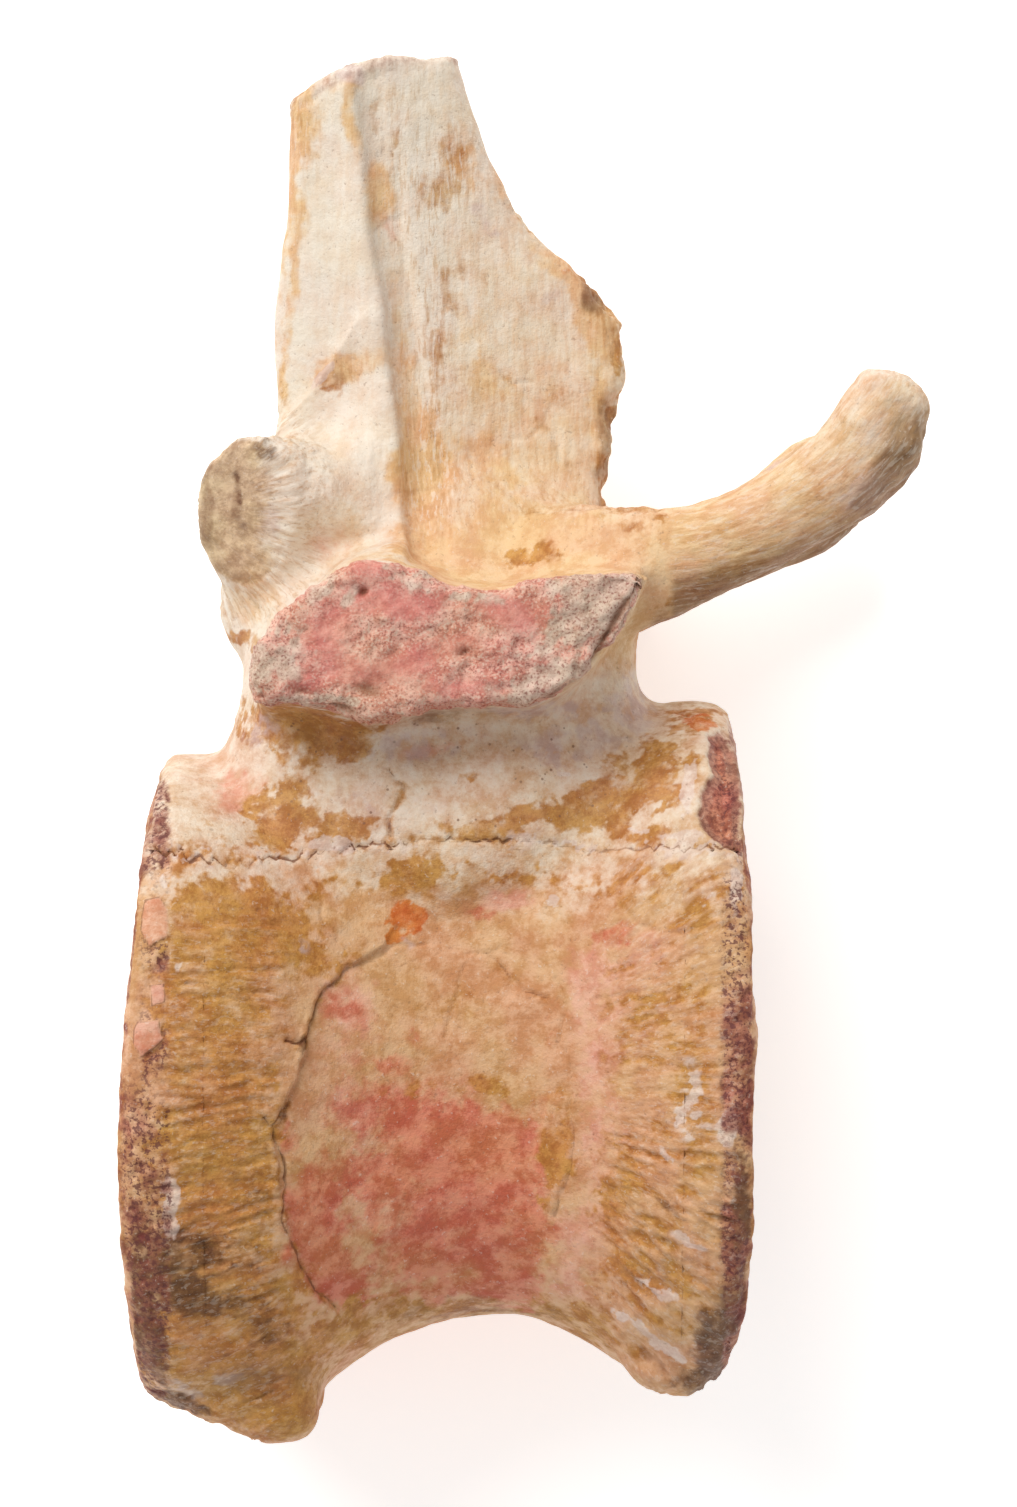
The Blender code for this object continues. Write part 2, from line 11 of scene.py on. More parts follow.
import bpy
import numpy as np
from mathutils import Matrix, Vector


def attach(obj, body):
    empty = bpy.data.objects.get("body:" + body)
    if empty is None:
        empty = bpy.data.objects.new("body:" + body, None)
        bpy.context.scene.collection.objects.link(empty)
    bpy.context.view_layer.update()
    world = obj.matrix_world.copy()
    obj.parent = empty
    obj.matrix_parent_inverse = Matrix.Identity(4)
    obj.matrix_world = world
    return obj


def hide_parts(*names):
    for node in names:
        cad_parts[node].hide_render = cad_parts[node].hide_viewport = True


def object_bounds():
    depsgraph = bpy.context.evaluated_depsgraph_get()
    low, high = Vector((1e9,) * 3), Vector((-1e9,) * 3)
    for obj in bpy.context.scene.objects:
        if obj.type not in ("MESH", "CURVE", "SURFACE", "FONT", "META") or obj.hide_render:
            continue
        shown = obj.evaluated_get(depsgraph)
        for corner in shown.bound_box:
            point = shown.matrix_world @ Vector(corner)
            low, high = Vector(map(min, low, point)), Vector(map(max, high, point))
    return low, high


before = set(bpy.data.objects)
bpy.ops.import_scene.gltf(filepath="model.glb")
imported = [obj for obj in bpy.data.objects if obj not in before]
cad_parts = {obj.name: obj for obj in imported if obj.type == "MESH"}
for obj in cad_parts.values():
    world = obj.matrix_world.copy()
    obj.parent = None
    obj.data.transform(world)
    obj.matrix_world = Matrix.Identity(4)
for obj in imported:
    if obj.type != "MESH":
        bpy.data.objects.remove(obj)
cad_box = [list(corner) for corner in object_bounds()]
print("nodes:", sorted(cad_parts))
print("box in mm:", [[round(c * 1000, 1) for c in corner] for corner in cad_box])

# %% [markdown]
# ## The camera
# The photograph shows the bone's right side square on. The bone lies on its other side here, so
# the camera hangs above it and looks straight down, with the spine towards the top of the
# picture. A long lens from 1.2 m keeps the bone's depth as flat as the photograph has it. The
# camera comes first, because stains and cracks are later placed by where they show in the photo.

# %% The camera looks down on the bone
MM = 0.001
PHOTO_WIDE, PHOTO_TALL = 1017, 1507
PHOTO_MM = 0.22  # what one pixel of the photograph covers at the bone's middle plane
MIDDLE_PLANE = 59  # height of the bone's plane of symmetry above the floor, mm
CAMERA_ABOVE = 1200
CAMERA_OVER = (-3.957, -2.132)
SENSOR = 36


def add_camera():
    place = Vector((*CAMERA_OVER, MIDDLE_PLANE + CAMERA_ABOVE)) * MM
    bpy.ops.object.camera_add(location=place)
    camera = bpy.context.object
    camera.name = "photo_camera"
    camera.data.sensor_width = SENSOR
    camera.data.lens = SENSOR * CAMERA_ABOVE / (PHOTO_TALL * PHOTO_MM)
    camera.data.clip_start = 0.05
    bpy.context.scene.camera = camera
    return camera


camera = add_camera()
print("lens", round(camera.data.lens, 1), "mm")

# %% [markdown]
# ## Floor and light
# The fossil was photographed in open, soft light that comes mostly from the top of the picture,
# and its background is white. A pale floor, one wide soft sun on that side and an even sky give
# the same look: every hollow keeps a little shade on its upper lip, and nothing is black.


# %% Floor, sun and sky
FLOOR_SIZE, FLOOR_GLOW = 8, 0.5
SUN_TOWARD, SUN_STRENGTH, SUN_SPREAD = (-0.6, 0.95, 1), 2.3, 40
SUN_COLOR = (1, 0.985, 0.96)
SKY_STRENGTH = 0.5


def principled(name):
    """A new node material, with its nodes and links and its Principled shader."""
    material = bpy.data.materials.new(name)
    material.use_nodes = True
    return material, material.node_tree.nodes, material.node_tree.links


def add_floor():
    bpy.ops.mesh.primitive_plane_add(size=FLOOR_SIZE, location=(0, 0, 0))
    floor = bpy.context.object
    floor.name = "pale_floor"
    material, nodes, _ = principled("pale_floor")
    inputs = nodes["Principled BSDF"].inputs
    inputs["Base Color"].default_value = (0.95, 0.95, 0.95, 1)
    inputs["Roughness"].default_value = 0.9
    inputs["Emission Color"].default_value = (1, 1, 1, 1)
    inputs["Emission Strength"].default_value = FLOOR_GLOW
    inputs["Specular IOR Level"].default_value = 0.1
    floor.data.materials.append(material)


def add_sun():
    """A distant soft light from the side that is the top of the picture."""
    toward = Vector(SUN_TOWARD)
    bpy.ops.object.light_add(type="SUN", location=toward.normalized() * 2)
    sun = bpy.context.object
    sun.name = "top_light"
    sun.data.energy = SUN_STRENGTH
    sun.data.angle = math.radians(SUN_SPREAD)
    sun.data.color = SUN_COLOR
    sun.rotation_mode = "QUATERNION"
    sun.rotation_quaternion = (-toward).to_track_quat("-Z", "Y")


def set_sky():
    world = bpy.data.worlds.new("soft_sky")
    bpy.context.scene.world = world
    world.use_nodes = True
    sky = world.node_tree.nodes["Background"]
    sky.inputs["Color"].default_value = (1, 1, 1, 1)
    sky.inputs["Strength"].default_value = SKY_STRENGTH


add_floor()
add_sun()
set_sky()
bpy.context.scene.view_settings.view_transform = "Standard"

# %% [markdown]
# ## One skin over the whole bone
# The frame holds the bone as ten solids with hair-fine gaps, because that is how its parts are
# named and handled. The fossil has no such gaps. So copies of the ten are joined, swollen by a
# quarter of a millimetre until they overlap, and fused by a voxel remesh into one closed skin.
# Smoothing forwards and back again takes out the facets and keeps the bone's girth.

# %% Helpers for working on one object
VOXEL = 1.1  # mm
SWELL = 0.25  # mm
SMOOTH_PASSES, SMOOTH_ON, SMOOTH_BACK, SMOOTH_LAST = 7, 0.6, -0.58, 0.5


def pick(*objects):
    """Selects only these objects and makes the first one active."""
    bpy.ops.object.select_all(action="DESELECT")
    for obj in objects:
        obj.select_set(True)
    bpy.context.view_layer.objects.active = objects[0]


def finish_with(obj, kind, **settings):
    """Adds a modifier, sets it up and applies it."""
    pick(obj)
    modifier = obj.modifiers.new(kind.title(), kind)
    for key, value in settings.items():
        setattr(modifier, key, value)
    bpy.ops.object.modifier_apply(modifier=modifier.name)


# %% Join, swell and fuse the copies
def fused_skin():
    copies = []
    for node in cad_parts.values():
        copy = node.copy()
        copy.data = node.data.copy()
        copy.parent = None
        for key in list(copy.keys()):
            del copy[key]
        bpy.context.scene.collection.objects.link(copy)
        copies.append(copy)
    pick(*copies)
    bpy.ops.object.join()
    skin = bpy.context.object
    skin.name = "bone_skin"
    skin.data.materials.clear()
    bpy.ops.object.mode_set(mode="EDIT")
    bpy.ops.mesh.select_all(action="SELECT")
    bpy.ops.mesh.remove_doubles(threshold=0.00001)
    bpy.ops.object.mode_set(mode="OBJECT")
    finish_with(skin, "DISPLACE", strength=SWELL * MM, mid_level=0)
    finish_with(skin, "REMESH", mode="VOXEL", voxel_size=VOXEL * MM)
    for factor in (SMOOTH_ON, SMOOTH_BACK) * SMOOTH_PASSES + (SMOOTH_LAST,):
        finish_with(skin, "SMOOTH", factor=factor, iterations=1)
    finish_with(skin, "DISPLACE", strength=-SWELL * MM, mid_level=0)
    finish_with(skin, "SUBSURF", levels=1, render_levels=1)
    return skin


skin = fused_skin()
print("skin:", len(skin.data.vertices), "vertices")

# %% [markdown]
# ## Reading the skin as columns of numbers
# Half a million points are too many to push about by hand, so from here on the sculpting is done
# with numpy, which treats the skin's points as columns of numbers. Each column has a plain
# meaning: forward along the tail, up towards the spine, and out to the bone's right. Two more
# columns say where a point would show in the photograph, so a crack seen there can be placed.

# %% Points, normals and places in the photograph
mesh = skin.data
count = len(mesh.vertices)


def read(collection, field, width):
    """One field of a whole mesh as a table with a row for each point."""
    values = np.empty(len(collection) * width, np.float32)
    collection.foreach_get(field, values)
    return values.reshape(-1, width)


def keep_vectors(name, values):
    """Stores a table of three columns on the skin under a name."""
    column = mesh.attributes.new(name, "FLOAT_VECTOR", "POINT")
    column.data.foreach_set("vector", values.astype(np.float32).ravel())


points = read(mesh.vertices, "co", 3) / MM
normals = read(mesh.vertex_normals, "vector", 3)
forward, up, out = points[:, 0], points[:, 1], points[:, 2] - MIDDLE_PLANE
side_out = np.abs(out)


def in_photo(x, y, depth):
    """Where a point shows in the photograph, in its own pixels."""
    scale = PHOTO_MM * (1 - depth / CAMERA_ABOVE)
    across = PHOTO_WIDE / 2 + (x - CAMERA_OVER[0]) / scale
    down = PHOTO_TALL / 2 - (y - CAMERA_OVER[1]) / scale
    return across, down


# The left side is seen as if it were the right one, so both sides are worked alike
px, py = in_photo(forward, up, side_out)


# %% Noise in numpy
HASH = np.array([73856093, 19349663, 83492791])
TABLE = 65536
TURN = np.array(((0.36, 0.48, -0.8), (-0.8, 0.6, 0), (0.48, 0.64, 0.6)), np.float32)
NO_TURN = np.eye(3, dtype=np.float32)
FINER = 2.03


def lattice_noise(at, seed):
    """Smooth noise from 0 to 1 that changes over about one unit of the places."""
    table = np.random.default_rng(seed).random(TABLE, np.float32)
    cell = np.floor(at)
    part = at - cell
    fx, fy, fz = (part * part * (3 - 2 * part)).T
    low = cell.astype(np.int64) * HASH
    high = low + HASH
    planes = []
    for x in (low[:, 0], high[:, 0]):
        rows = []
        for y in (low[:, 1], high[:, 1]):
            near = table[(x ^ y ^ low[:, 2]) & (TABLE - 1)]
            far = table[(x ^ y ^ high[:, 2]) & (TABLE - 1)]
            rows.append(near + (far - near) * fz)
        planes.append(rows[0] + (rows[1] - rows[0]) * fy)
    return planes[0] + (planes[1] - planes[0]) * fx


def layered(at, seed, layers, fade, turn):
    """Layers of noise, each turned, finer and fainter than the one before."""
    total, weight, whole = 0, 1, 0
    for layer in range(layers):
        total = total + weight * lattice_noise(at, seed + layer)
        whole += weight
        weight *= fade
        at = at @ turn * FINER
    return total / whole


def noise(size, seed, layers=3, fade=0.55):
    """Noise of several sizes on the bone, the largest given in mm, with its middle at 0.5."""
    return layered((points / size).astype(np.float32), seed, layers, fade, TURN)


def ramp(values, low, high):
    """0 below the low value, 1 above the high one, and an eased step between."""
    share = np.clip((values - low) / (high - low), 0, 1)
    return share * share * (3 - 2 * share)


def fall(values, low, high):
    """1 below the low value, 0 above the high one, and an eased step between."""
    return ramp(-values, -high, -low)


def between(values, low, full, still, high):
    """1 from full to still, 0 below low and above high, with eased steps."""
    return ramp(values, low, full) * fall(values, still, high)


def rough(pattern, height):
    """Noise as bumps and dips that are that high from the lowest to the highest, in mm."""
    return (pattern - 0.5) * height


def bell(values, width):
    """1 where the values are 0, fading on both sides over about the width."""
    return np.exp(-((values / width) ** 2))


coarse = noise(26, 11)
medium = noise(8, 21)
fine = noise(2.6, 31, layers=2)
grain = noise(1.5, 36, layers=1)
print("noise ready for", count, "points")

# %% [markdown]
# ## Marks placed one by one
# Three kinds of mark cover nearly everything on this bone. A dab is a soft oval, used for hollows
# and stains. A line follows a few points, used for cracks and edges. A patch has an outline, used
# where a piece broke out. All are placed in the photograph's pixels and bent by noise, so that no
# oval or straight line can be told. On the left side, which the photo doesn't show, the same
# marks are pushed far out of place.

# %% Dabs, lines and patches
wander = np.stack([noise(14, 41), noise(14, 47)]) - 0.5
flicker = np.stack([noise(4, 51), noise(4, 57)]) - 0.5
hidden = fall(out, -26, -2)
HIDDEN_PUSH = 260  # pixels
FAR_OFF, LINE_MARGIN = 1e3, 50  # pixels
far_push = (np.stack([noise(45, 61, 1), noise(45, 67, 1)]) - 0.5) * HIDDEN_PUSH * hidden


def bent(amount, pushed=True):
    """The photograph places, bent by noise of a given strength in pixels."""
    shift = wander * amount + flicker * amount * 0.6
    if pushed:
        shift = shift + far_push
    return px + shift[0], py + shift[1]


def dabs(marks, bend=34, pushed=True):
    """Strength from 0 to 1 under soft ovals.

    Each is a middle, half width, half height and strength, then its turn in degrees if it has one.
    """
    across, down = bent(bend, pushed)
    left = np.ones(count, np.float32)
    for x, y, wide, tall, strength, *turn in marks:
        far = 2.2 * max(wide, tall)
        near = (np.abs(across - x) < far) & (np.abs(down - y) < far)
        a, b = across[near] - x, down[near] - y
        angle = math.radians(sum(turn))
        c, s = math.cos(angle), math.sin(angle)
        reach = ((a * c + b * s) / wide) ** 2 + ((b * c - a * s) / tall) ** 2
        left[near] *= 1 - strength * np.exp(-0.7 * reach**1.4)
    return 1 - left


def line_gap(line, bend=6):
    """Distance in pixels of the photograph to a line through a few points."""
    across, down = bent(bend)
    gap = np.full(count, FAR_OFF, np.float32)
    low, high = np.min(line, axis=0) - LINE_MARGIN, np.max(line, axis=0) + LINE_MARGIN
    near = (across > low[0]) & (across < high[0]) & (down > low[1]) & (down < high[1])
    a, b = across[near], down[near]
    nearest = np.full(near.sum(), FAR_OFF, np.float32)
    for (x0, y0), (x1, y1) in zip(line, line[1:]):
        run, rise = x1 - x0, y1 - y0
        share = ((a - x0) * run + (b - y0) * rise) / (run**2 + rise**2)
        share = np.clip(share, 0, 1)
        nearest = np.minimum(nearest, np.hypot(a - x0 - share * run, b - y0 - share * rise))
    gap[near] = nearest
    return gap


def patch(outline, bend=8):
    """How deep in pixels a point lies inside an outline, below 0 outside it."""
    across, down = bent(bend)
    inside = np.zeros(count, bool)
    ring = tuple(outline) + (outline[0],)
    for (x0, y0), (x1, y1) in zip(ring, ring[1:]):
        if y0 != y1:
            crosses = (down > min(y0, y1)) & (down <= max(y0, y1))
            inside ^= crosses & (across < x0 + (down - y0) * (x1 - x0) / (y1 - y0))
    gap = line_gap(ring, bend)
    return np.where(inside, gap, -gap)

# %% [markdown]
# ## Regions of the bone
# Each part of the bone weathered in its own way, so the skin is first divided into soft regions:
# the two dished joint faces of the centrum, its rims, its sides, the broken roots, the facets.
# They come from the bone's own sizes, so they sit right on every side.

# %% Soft masks of the regions
SUTURE_LEVEL = -22.5
RIGHT_BREAK, LEFT_BREAK = 51.5, 55
FACET_X, FACET_Y, FACET_WIDE, FACET_TALL = 245, 512, 49, 74

is_centrum = fall(up, SUTURE_LEVEL - 1, SUTURE_LEVEL + 1)
is_spine = ramp(up, 62, 74)
is_arm = ramp(forward, 24, 36) * ramp(up, 20, 27)
end_side = fall(forward, -78, -74) + ramp(forward, 38, 42)
joint_face = ramp(np.abs(normals[:, 0]), 0.72, 0.9) * end_side * fall(up, 12, 16)
in_root = between(forward, -63, -60, 26, 29)
in_root *= between(up, -3, 0, 43, 46)
break_level = np.where(out > 0, RIGHT_BREAK, LEFT_BREAK)
from_break = side_out + 2.5 * (medium - 0.5) - break_level
broken_root = in_root * ramp(from_break, -0.6, 0.6)
TOP_FORWARD, TOP_UP = (-60, -51.5, -38.6, -28.7, -10), (135.9, 141.2, 148.4, 151.6, 152.1)
top_line = np.interp(forward, TOP_FORWARD, TOP_UP)
spine_top = ramp(up - top_line, -5, -2)
facet_reach = np.hypot((px - FACET_X) / FACET_WIDE, (py - FACET_Y) / FACET_TALL)
facet_side = fall(forward, -53, -50) * ramp(side_out, 9, 12)
facet = fall(facet_reach, 0.94, 1.04) * facet_side
print("broken points:", int((broken_root > 0.5).sum()), "facet points:", int((facet > 0.5).sum()))

# %% [markdown]
# ## The grain
# Bone has a grain like wood. It runs up the blade of the spine, round the bow of the front arm,
# out from the facets, and across the muscle scars by the rims. We give every point a place in
# that grain: how far across the fibres it lies, how far along them, and how deep. Noise that is
# read at those places is drawn out along the fibres, and relief, stains and finish all share it.

# %% Places in the grain
ALONG, ALONG_SCARS = 0.16, 0.34
ARM_BOW_X, ARM_BOW_Y = 650, 240
# Each fan is the middle that its fibres spread from, in pixels, and a girth
BACK_FAN, FRONT_FAN = (1300, 1010, 1100), (400, 1080, 280)


def around(centre_x, centre_y, girth):
    """How far a point lies from a centre, and how far round it at a given girth, in mm."""
    reach = np.hypot(px - centre_x, py - centre_y)
    angle = np.arctan2(py - centre_y, np.abs(px - centre_x))
    return reach * PHOTO_MM, angle * girth * PHOTO_MM


def spread_from(centre_x, centre_y, girth, along):
    """Places for fibres that spread from a point like a fan."""
    reach, turn = around(centre_x, centre_y, girth)
    return np.stack([turn, reach * along, side_out * 0.5], axis=1)


arm_reach, arm_turn = around(ARM_BOW_X, ARM_BOW_Y, 330)
grain_place = np.stack([forward, up * ALONG, out * 0.5], axis=1)
for zone, place in (
    (is_arm > 0.4, np.stack([arm_reach, arm_turn * ALONG, out * 0.5], axis=1)),
    ((up < 0) & (px < 450), spread_from(*BACK_FAN, ALONG_SCARS)),
    ((up < 0) & (px >= 450), spread_from(*FRONT_FAN, ALONG_SCARS)),
    (
        (facet_reach < 2.2) & (forward < -26) & (up > 20),
        spread_from(FACET_X - 60, FACET_Y, 120, ALONG),
    ),
):
    grain_place[zone] = place[zone]

on_sides = is_centrum * (1 - joint_face)
back_band = between(px, 148, 172, 262, 308) * on_sides * ramp(py, 880, 960)
front_band = between(px, 585, 640, 732, 752) * on_sides
bands = np.clip(back_band + front_band, 0, 1)
near_facet = fall(facet_reach, 1.4, 2.1) * fall(forward, -40, -26) * ramp(up, 22, 28)
near_facet *= (1 - broken_root) * (1 - 0.85 * facet * fall(px, 245, 285))
blade = ramp(up, 40, 52) * fall(is_arm, 0.1, 0.4) * ramp(facet_reach, 2.2, 2.9)
on_arm = ramp(is_arm, 0.45, 0.8)
on_fibres = np.clip(0.5 * bands + near_facet + 0.6 * blade + 0.8 * on_arm, 0, 1)


def grain_noise(size, seed, layers=2, fade=0.7):
    """Noise drawn out along the grain, its width across the fibres given in mm."""
    return layered(grain_place / size, seed, layers, fade, NO_TURN)


print("points with a grain:", int((on_fibres > 0.5).sum()))

# %% [markdown]
# ## Sculpting
# All relief is added up in one column, in millimetres along each point's normal. The points move
# at the very end, when the smooth skin has been cut into pieces. Shallow dents come first, with
# the stout ridge that runs up the spine's side and the sunken field on the side of the centrum.

# %% Dents and the ridge of the spine
relief = rough(coarse, 1.3) + rough(medium, 0.6) + rough(fine, 0.2) + rough(grain, 0.08)

RIDGE_HIGH, VALLEY_DEEP, GROOVE_DEEP, LAMINA_HIGH = 2.6, 1.3, 0.5, 1.3  # mm
RIDGE_X, RIDGE_Y = (345, 352, 362, 370, 385, 398, 403), (60, 90, 180, 260, 380, 470, 560)
from_ridge = px - np.interp(py, RIDGE_Y, RIDGE_X) + wander[0] * 8
on_blade = ramp(up, 36, 44) * ramp(side_out, 3, 6) * (1 - spine_top)
crest_width = np.where(from_ridge < 0, 20, 6)
ridge_grows = 0.55 + 0.45 * ramp(py, 120, 260)
relief += on_blade * bell(from_ridge, crest_width) * RIDGE_HIGH * ridge_grows
relief -= on_blade * bell(from_ridge - 24, 16) * VALLEY_DEEP
from_groove = from_ridge - 40 - 6 * np.sin(py / 60)
relief -= on_blade * bell(from_groove, 5) * GROOVE_DEEP * ramp(py, 90, 200)

# Dabs with a depth in mm as their strength, negative for a swelling
HOLLOWS = (
    (348, 382, 30, 24, 0.9, -40), (318, 470, 34, 50, -0.6), (300, 560, 34, 30, 0.5, -30),
    (510, 240, 34, 26, 0.5, 30), (560, 330, 40, 34, 0.4), (500, 470, 40, 30, 0.5),
    (590, 400, 20, 40, -0.4), (470, 545, 50, 22, 0.6), (300, 770, 30, 26, 0.7),
    (400, 760, 34, 34, 0.7, 20), (600, 760, 50, 26, 0.6, -10), (345, 800, 26, 34, -0.5),
    (520, 780, 40, 26, -0.4), (440, 900, 60, 14, -0.4), (690, 880, 30, 16, -0.4),
    (700, 500, 40, 10, 0.4, -15), (900, 415, 14, 20, 1.2, -30), (860, 410, 16, 20, -0.7, 30),
    (250, 1350, 50, 26, 0.5, -20), (560, 1150, 22, 60, -0.3),
)
for x, y, wide, tall, depth, *turn in HOLLOWS:
    hollow = dabs(((x, y, wide, tall, 1, *turn),), bend=14, pushed=False)
    relief -= depth * hollow * (1 - joint_face)

# A thin edge of bone climbs from the back joint to the ridge
LAMINA = ((272, 440), (284, 428), (300, 410), (320, 385), (345, 342), (362, 316), (376, 296))
across, down = bent(8, pushed=False)
lamina_x, lamina_y = np.transpose(LAMINA)
past_lamina = across - np.interp(-down, -lamina_y, lamina_x)
on_lamina = on_blade * between(down, 296, 330, 425, 445)
fades_over = np.where(past_lamina > 0, 26, 7)
relief += on_lamina * np.exp(-np.abs(past_lamina) / fades_over) * LAMINA_HIGH
print("dents and ridge:", round(float(relief.min()), 2), "to", round(float(relief.max()), 2), "mm")

# %% The sunken field on the side of the centrum
# Its left and right edges, each point a height and a place across, in pixels
FOSSA_LEFT = (
    (880, 420), (905, 405), (947, 385), (966, 350), (992, 325), (1022, 312), (1052, 305),
    (1082, 295), (1112, 282), (1129, 272), (1189, 280), (1223, 286), (1262, 299), (1283, 312),
    (1311, 333), (1340, 365),
)
FOSSA_RIGHT = ((905, 540), (975, 556), (1044, 566), (1100, 578), (1180, 576), (1300, 540))
FOSSA_TOP, FOSSA_BOTTOM = 905, 1330
FOSSA_STEP, LIP_HIGH = 1.1, 1.2  # mm
across, down = bent(13, pushed=False)
fossa_left = np.interp(down, *np.transpose(FOSSA_LEFT))
fossa_right = np.interp(down, *np.transpose(FOSSA_RIGHT))
fossa_share = np.clip((across - fossa_left) / (fossa_right - fossa_left), 0, 1)
fossa = between(across, fossa_left - 3, fossa_left + 3, fossa_right - 30, fossa_right + 30)
fossa *= between(down, FOSSA_TOP, FOSSA_TOP + 50, FOSSA_BOTTOM - 30, FOSSA_BOTTOM + 20)
fossa *= is_centrum * (1 - joint_face) * ramp(side_out, 18, 26)
relief -= fossa * (1 - 0.65 * fossa_share) * FOSSA_STEP
fossa_lip = bell(across - fossa_left + 5, 6) * is_centrum * ramp(down, 930, 960)
fossa_lip *= fall(down, 1290, 1320) * ramp(side_out, 18, 26)
relief += fossa_lip * (medium - 0.3) * LIP_HIGH
print("points in the sunken field:", int((fossa > 0.5).sum()))


# %% Muscle scars near the rims
def fan(centre_x, centre_y, along, apart, seed):
    """Long ridges that spread from a point of the photograph like a fan."""
    across, down = bent(16, pushed=False)
    angle = np.arctan2(down - centre_y, np.abs(across - centre_x))
    reach = np.hypot(across - centre_x, down - centre_y)
    places = np.stack([reach / along, angle * 300 / apart, out / 14], axis=1)
    both = 0.62 * lattice_noise(places, seed) + 0.38 * lattice_noise(places * 2.1, seed + 1)
    return 1 - np.abs(2 * both - 1) * 1.7


back_ridges = fan(*BACK_FAN[:2], 75, 3, 71)
front_ridges = fan(*FRONT_FAN[:2], 60, 11, 81)
front_strength = 0.45 + 0.75 * ramp(py, 1060, 1230)
relief += back_band * (back_ridges - 0.4) * (0.55 + 0.9 * coarse)
relief += front_band * (front_ridges - 0.4) * front_strength
print("points on the scars:", int((bands > 0.5).sum()))

# %% [markdown]
# The suture is where the arch and the centrum were still two bones when the animal died. It runs
# along each side as a fine zigzag with crusty lumps beside it, deep in places and nearly healed
# in others.

# %% The zigzag suture
SUTURE_X = (120, 170, 250, 330, 380, 480, 600, 720, 770)
SUTURE_Y = (846, 850, 864, 852, 845, 838, 849, 846, 846)
SUTURE_TEETH = 130
SUTURE_DEEP = 0.95  # mm


def zigzag_gap():
    """Distance in pixels below a toothed line."""
    rng = np.random.default_rng(5)
    stops = np.cumsum(rng.uniform(2.5, 11, SUTURE_TEETH)) + 100
    high = rng.uniform(0.3, 4.2, SUTURE_TEETH) * (1 + 0.9 * (stops < 350))
    up_and_down = np.where(np.arange(SUTURE_TEETH) % 2, 1, -1)
    teeth = np.interp(stops, SUTURE_X, SUTURE_Y) + high * up_and_down
    return py + wander[1] * 12 + flicker[1] * 8 - np.interp(px + flicker[0] * 12, stops, teeth)


below_suture = zigzag_gap()
on_flank = ramp(side_out, 22, 30) * (1 - joint_face)
suture_groove, suture_dark, suture_near, suture_crust = (
    bell(below_suture, width) * on_flank for width in (2, 4, 6, 12)
)
suture_groove *= 0.25 + 0.75 * ramp(medium, 0.36, 0.58)
relief += suture_crust * (noise(3.2, 91, layers=2) - 0.45)
relief -= suture_groove * SUTURE_DEEP
dark_lines = suture_dark * (0.84 + 0.16 * ramp(medium, 0.36, 0.54))
print("points in the suture:", int((suture_groove > 0.5).sum()))

# %% Cracks and flakes
CRACK_DEEP, FLAKE_HIGH = 0.8, 0.45  # mm
# Each crack is a strength and the points of its line
CRACKS = (
    (0.8, ((388, 768), (392, 775), (403, 788), (401, 799), (395, 806), (390, 823), (388, 838))),
    (0.9, ((350, 966), (325, 992), (312, 1022), (305, 1052))),
    (1.1, ((306, 1038), (298, 1046), (288, 1042))),
    (1, ((292, 1106), (278, 1112), (270, 1128), (262, 1118))),
    (0.9, (
        (272, 1130), (284, 1160), (288, 1190), (280, 1222), (299, 1262), (312, 1283), (335, 1311),
    )),
    (0.7, ((488, 951), (504, 971), (525, 988), (547, 995))),
    (0.4, ((470, 955), (488, 951), (500, 946))),
    (0.4, ((504, 971), (514, 992))),
    (0.5, ((465, 967), (458, 1001), (447, 1036))),
    (0.5, ((350, 966), (372, 960), (392, 948), (430, 944))),
    (0.6, ((573, 1092), (570, 1105), (575, 1130), (572, 1170), (562, 1196), (555, 1217))),
    (0.4, ((548, 1095), (573, 1092))),
    (0.5, ((555, 975), (566, 1010), (560, 1044), (577, 1075))),
    (0.4, ((300, 880), (322, 905), (322, 925), (335, 935))),
    (0.5, ((505, 372), (515, 384), (534, 380))),
    (0.4, ((516, 440), (534, 438), (548, 424), (550, 404))),
    (0.4, ((540, 418), (556, 436), (562, 462), (580, 470))),
    (0.5, ((500, 484), (516, 492), (526, 510), (560, 512), (592, 507), (640, 503))),
    (0.35, ((370, 235), (392, 222), (410, 214))),
    (0.4, ((392, 500), (405, 494), (440, 486))),
    (0.4, ((620, 905), (640, 925), (668, 930), (700, 926))),
    (0.5, ((676, 706), (690, 716), (700, 730))),
    (0.35, ((600, 1000), (640, 992), (670, 996))),
)
cracks = np.zeros(count, np.float32)
cracks_near = np.zeros(count, np.float32)
for depth, line in CRACKS:
    gap = line_gap(line, bend=12)
    cracks = np.maximum(cracks, depth * bell(gap, 2))
    cracks_near = np.maximum(cracks_near, depth * bell(gap, 6))
    weight = (0.6 + 0.36 * depth) * (0.84 + 0.16 * ramp(fine, 0.38, 0.58))
    dark_lines = np.maximum(dark_lines, weight * bell(gap, 4.2))
cracks *= 1 - joint_face
relief -= cracks * CRACK_DEEP
FLAKE = (
    (548, 1095), (573, 1090), (578, 1130), (574, 1170),
    (563, 1196), (555, 1217), (541, 1190), (536, 1150),
)
flake = ramp(patch(FLAKE), -3, 3) * on_sides
relief += flake * FLAKE_HIGH
print(len(CRACKS), "cracks over", int((cracks > 0.3).sum()), "points")

# %% [markdown]
# Where the bone broke, its spongy inside shows: a crumbly relief with pits and smoother islands.
# The rims of the centrum lost their thin shell too, so they are dotted with small pores, apart
# from a few chips of shell that still hold on.

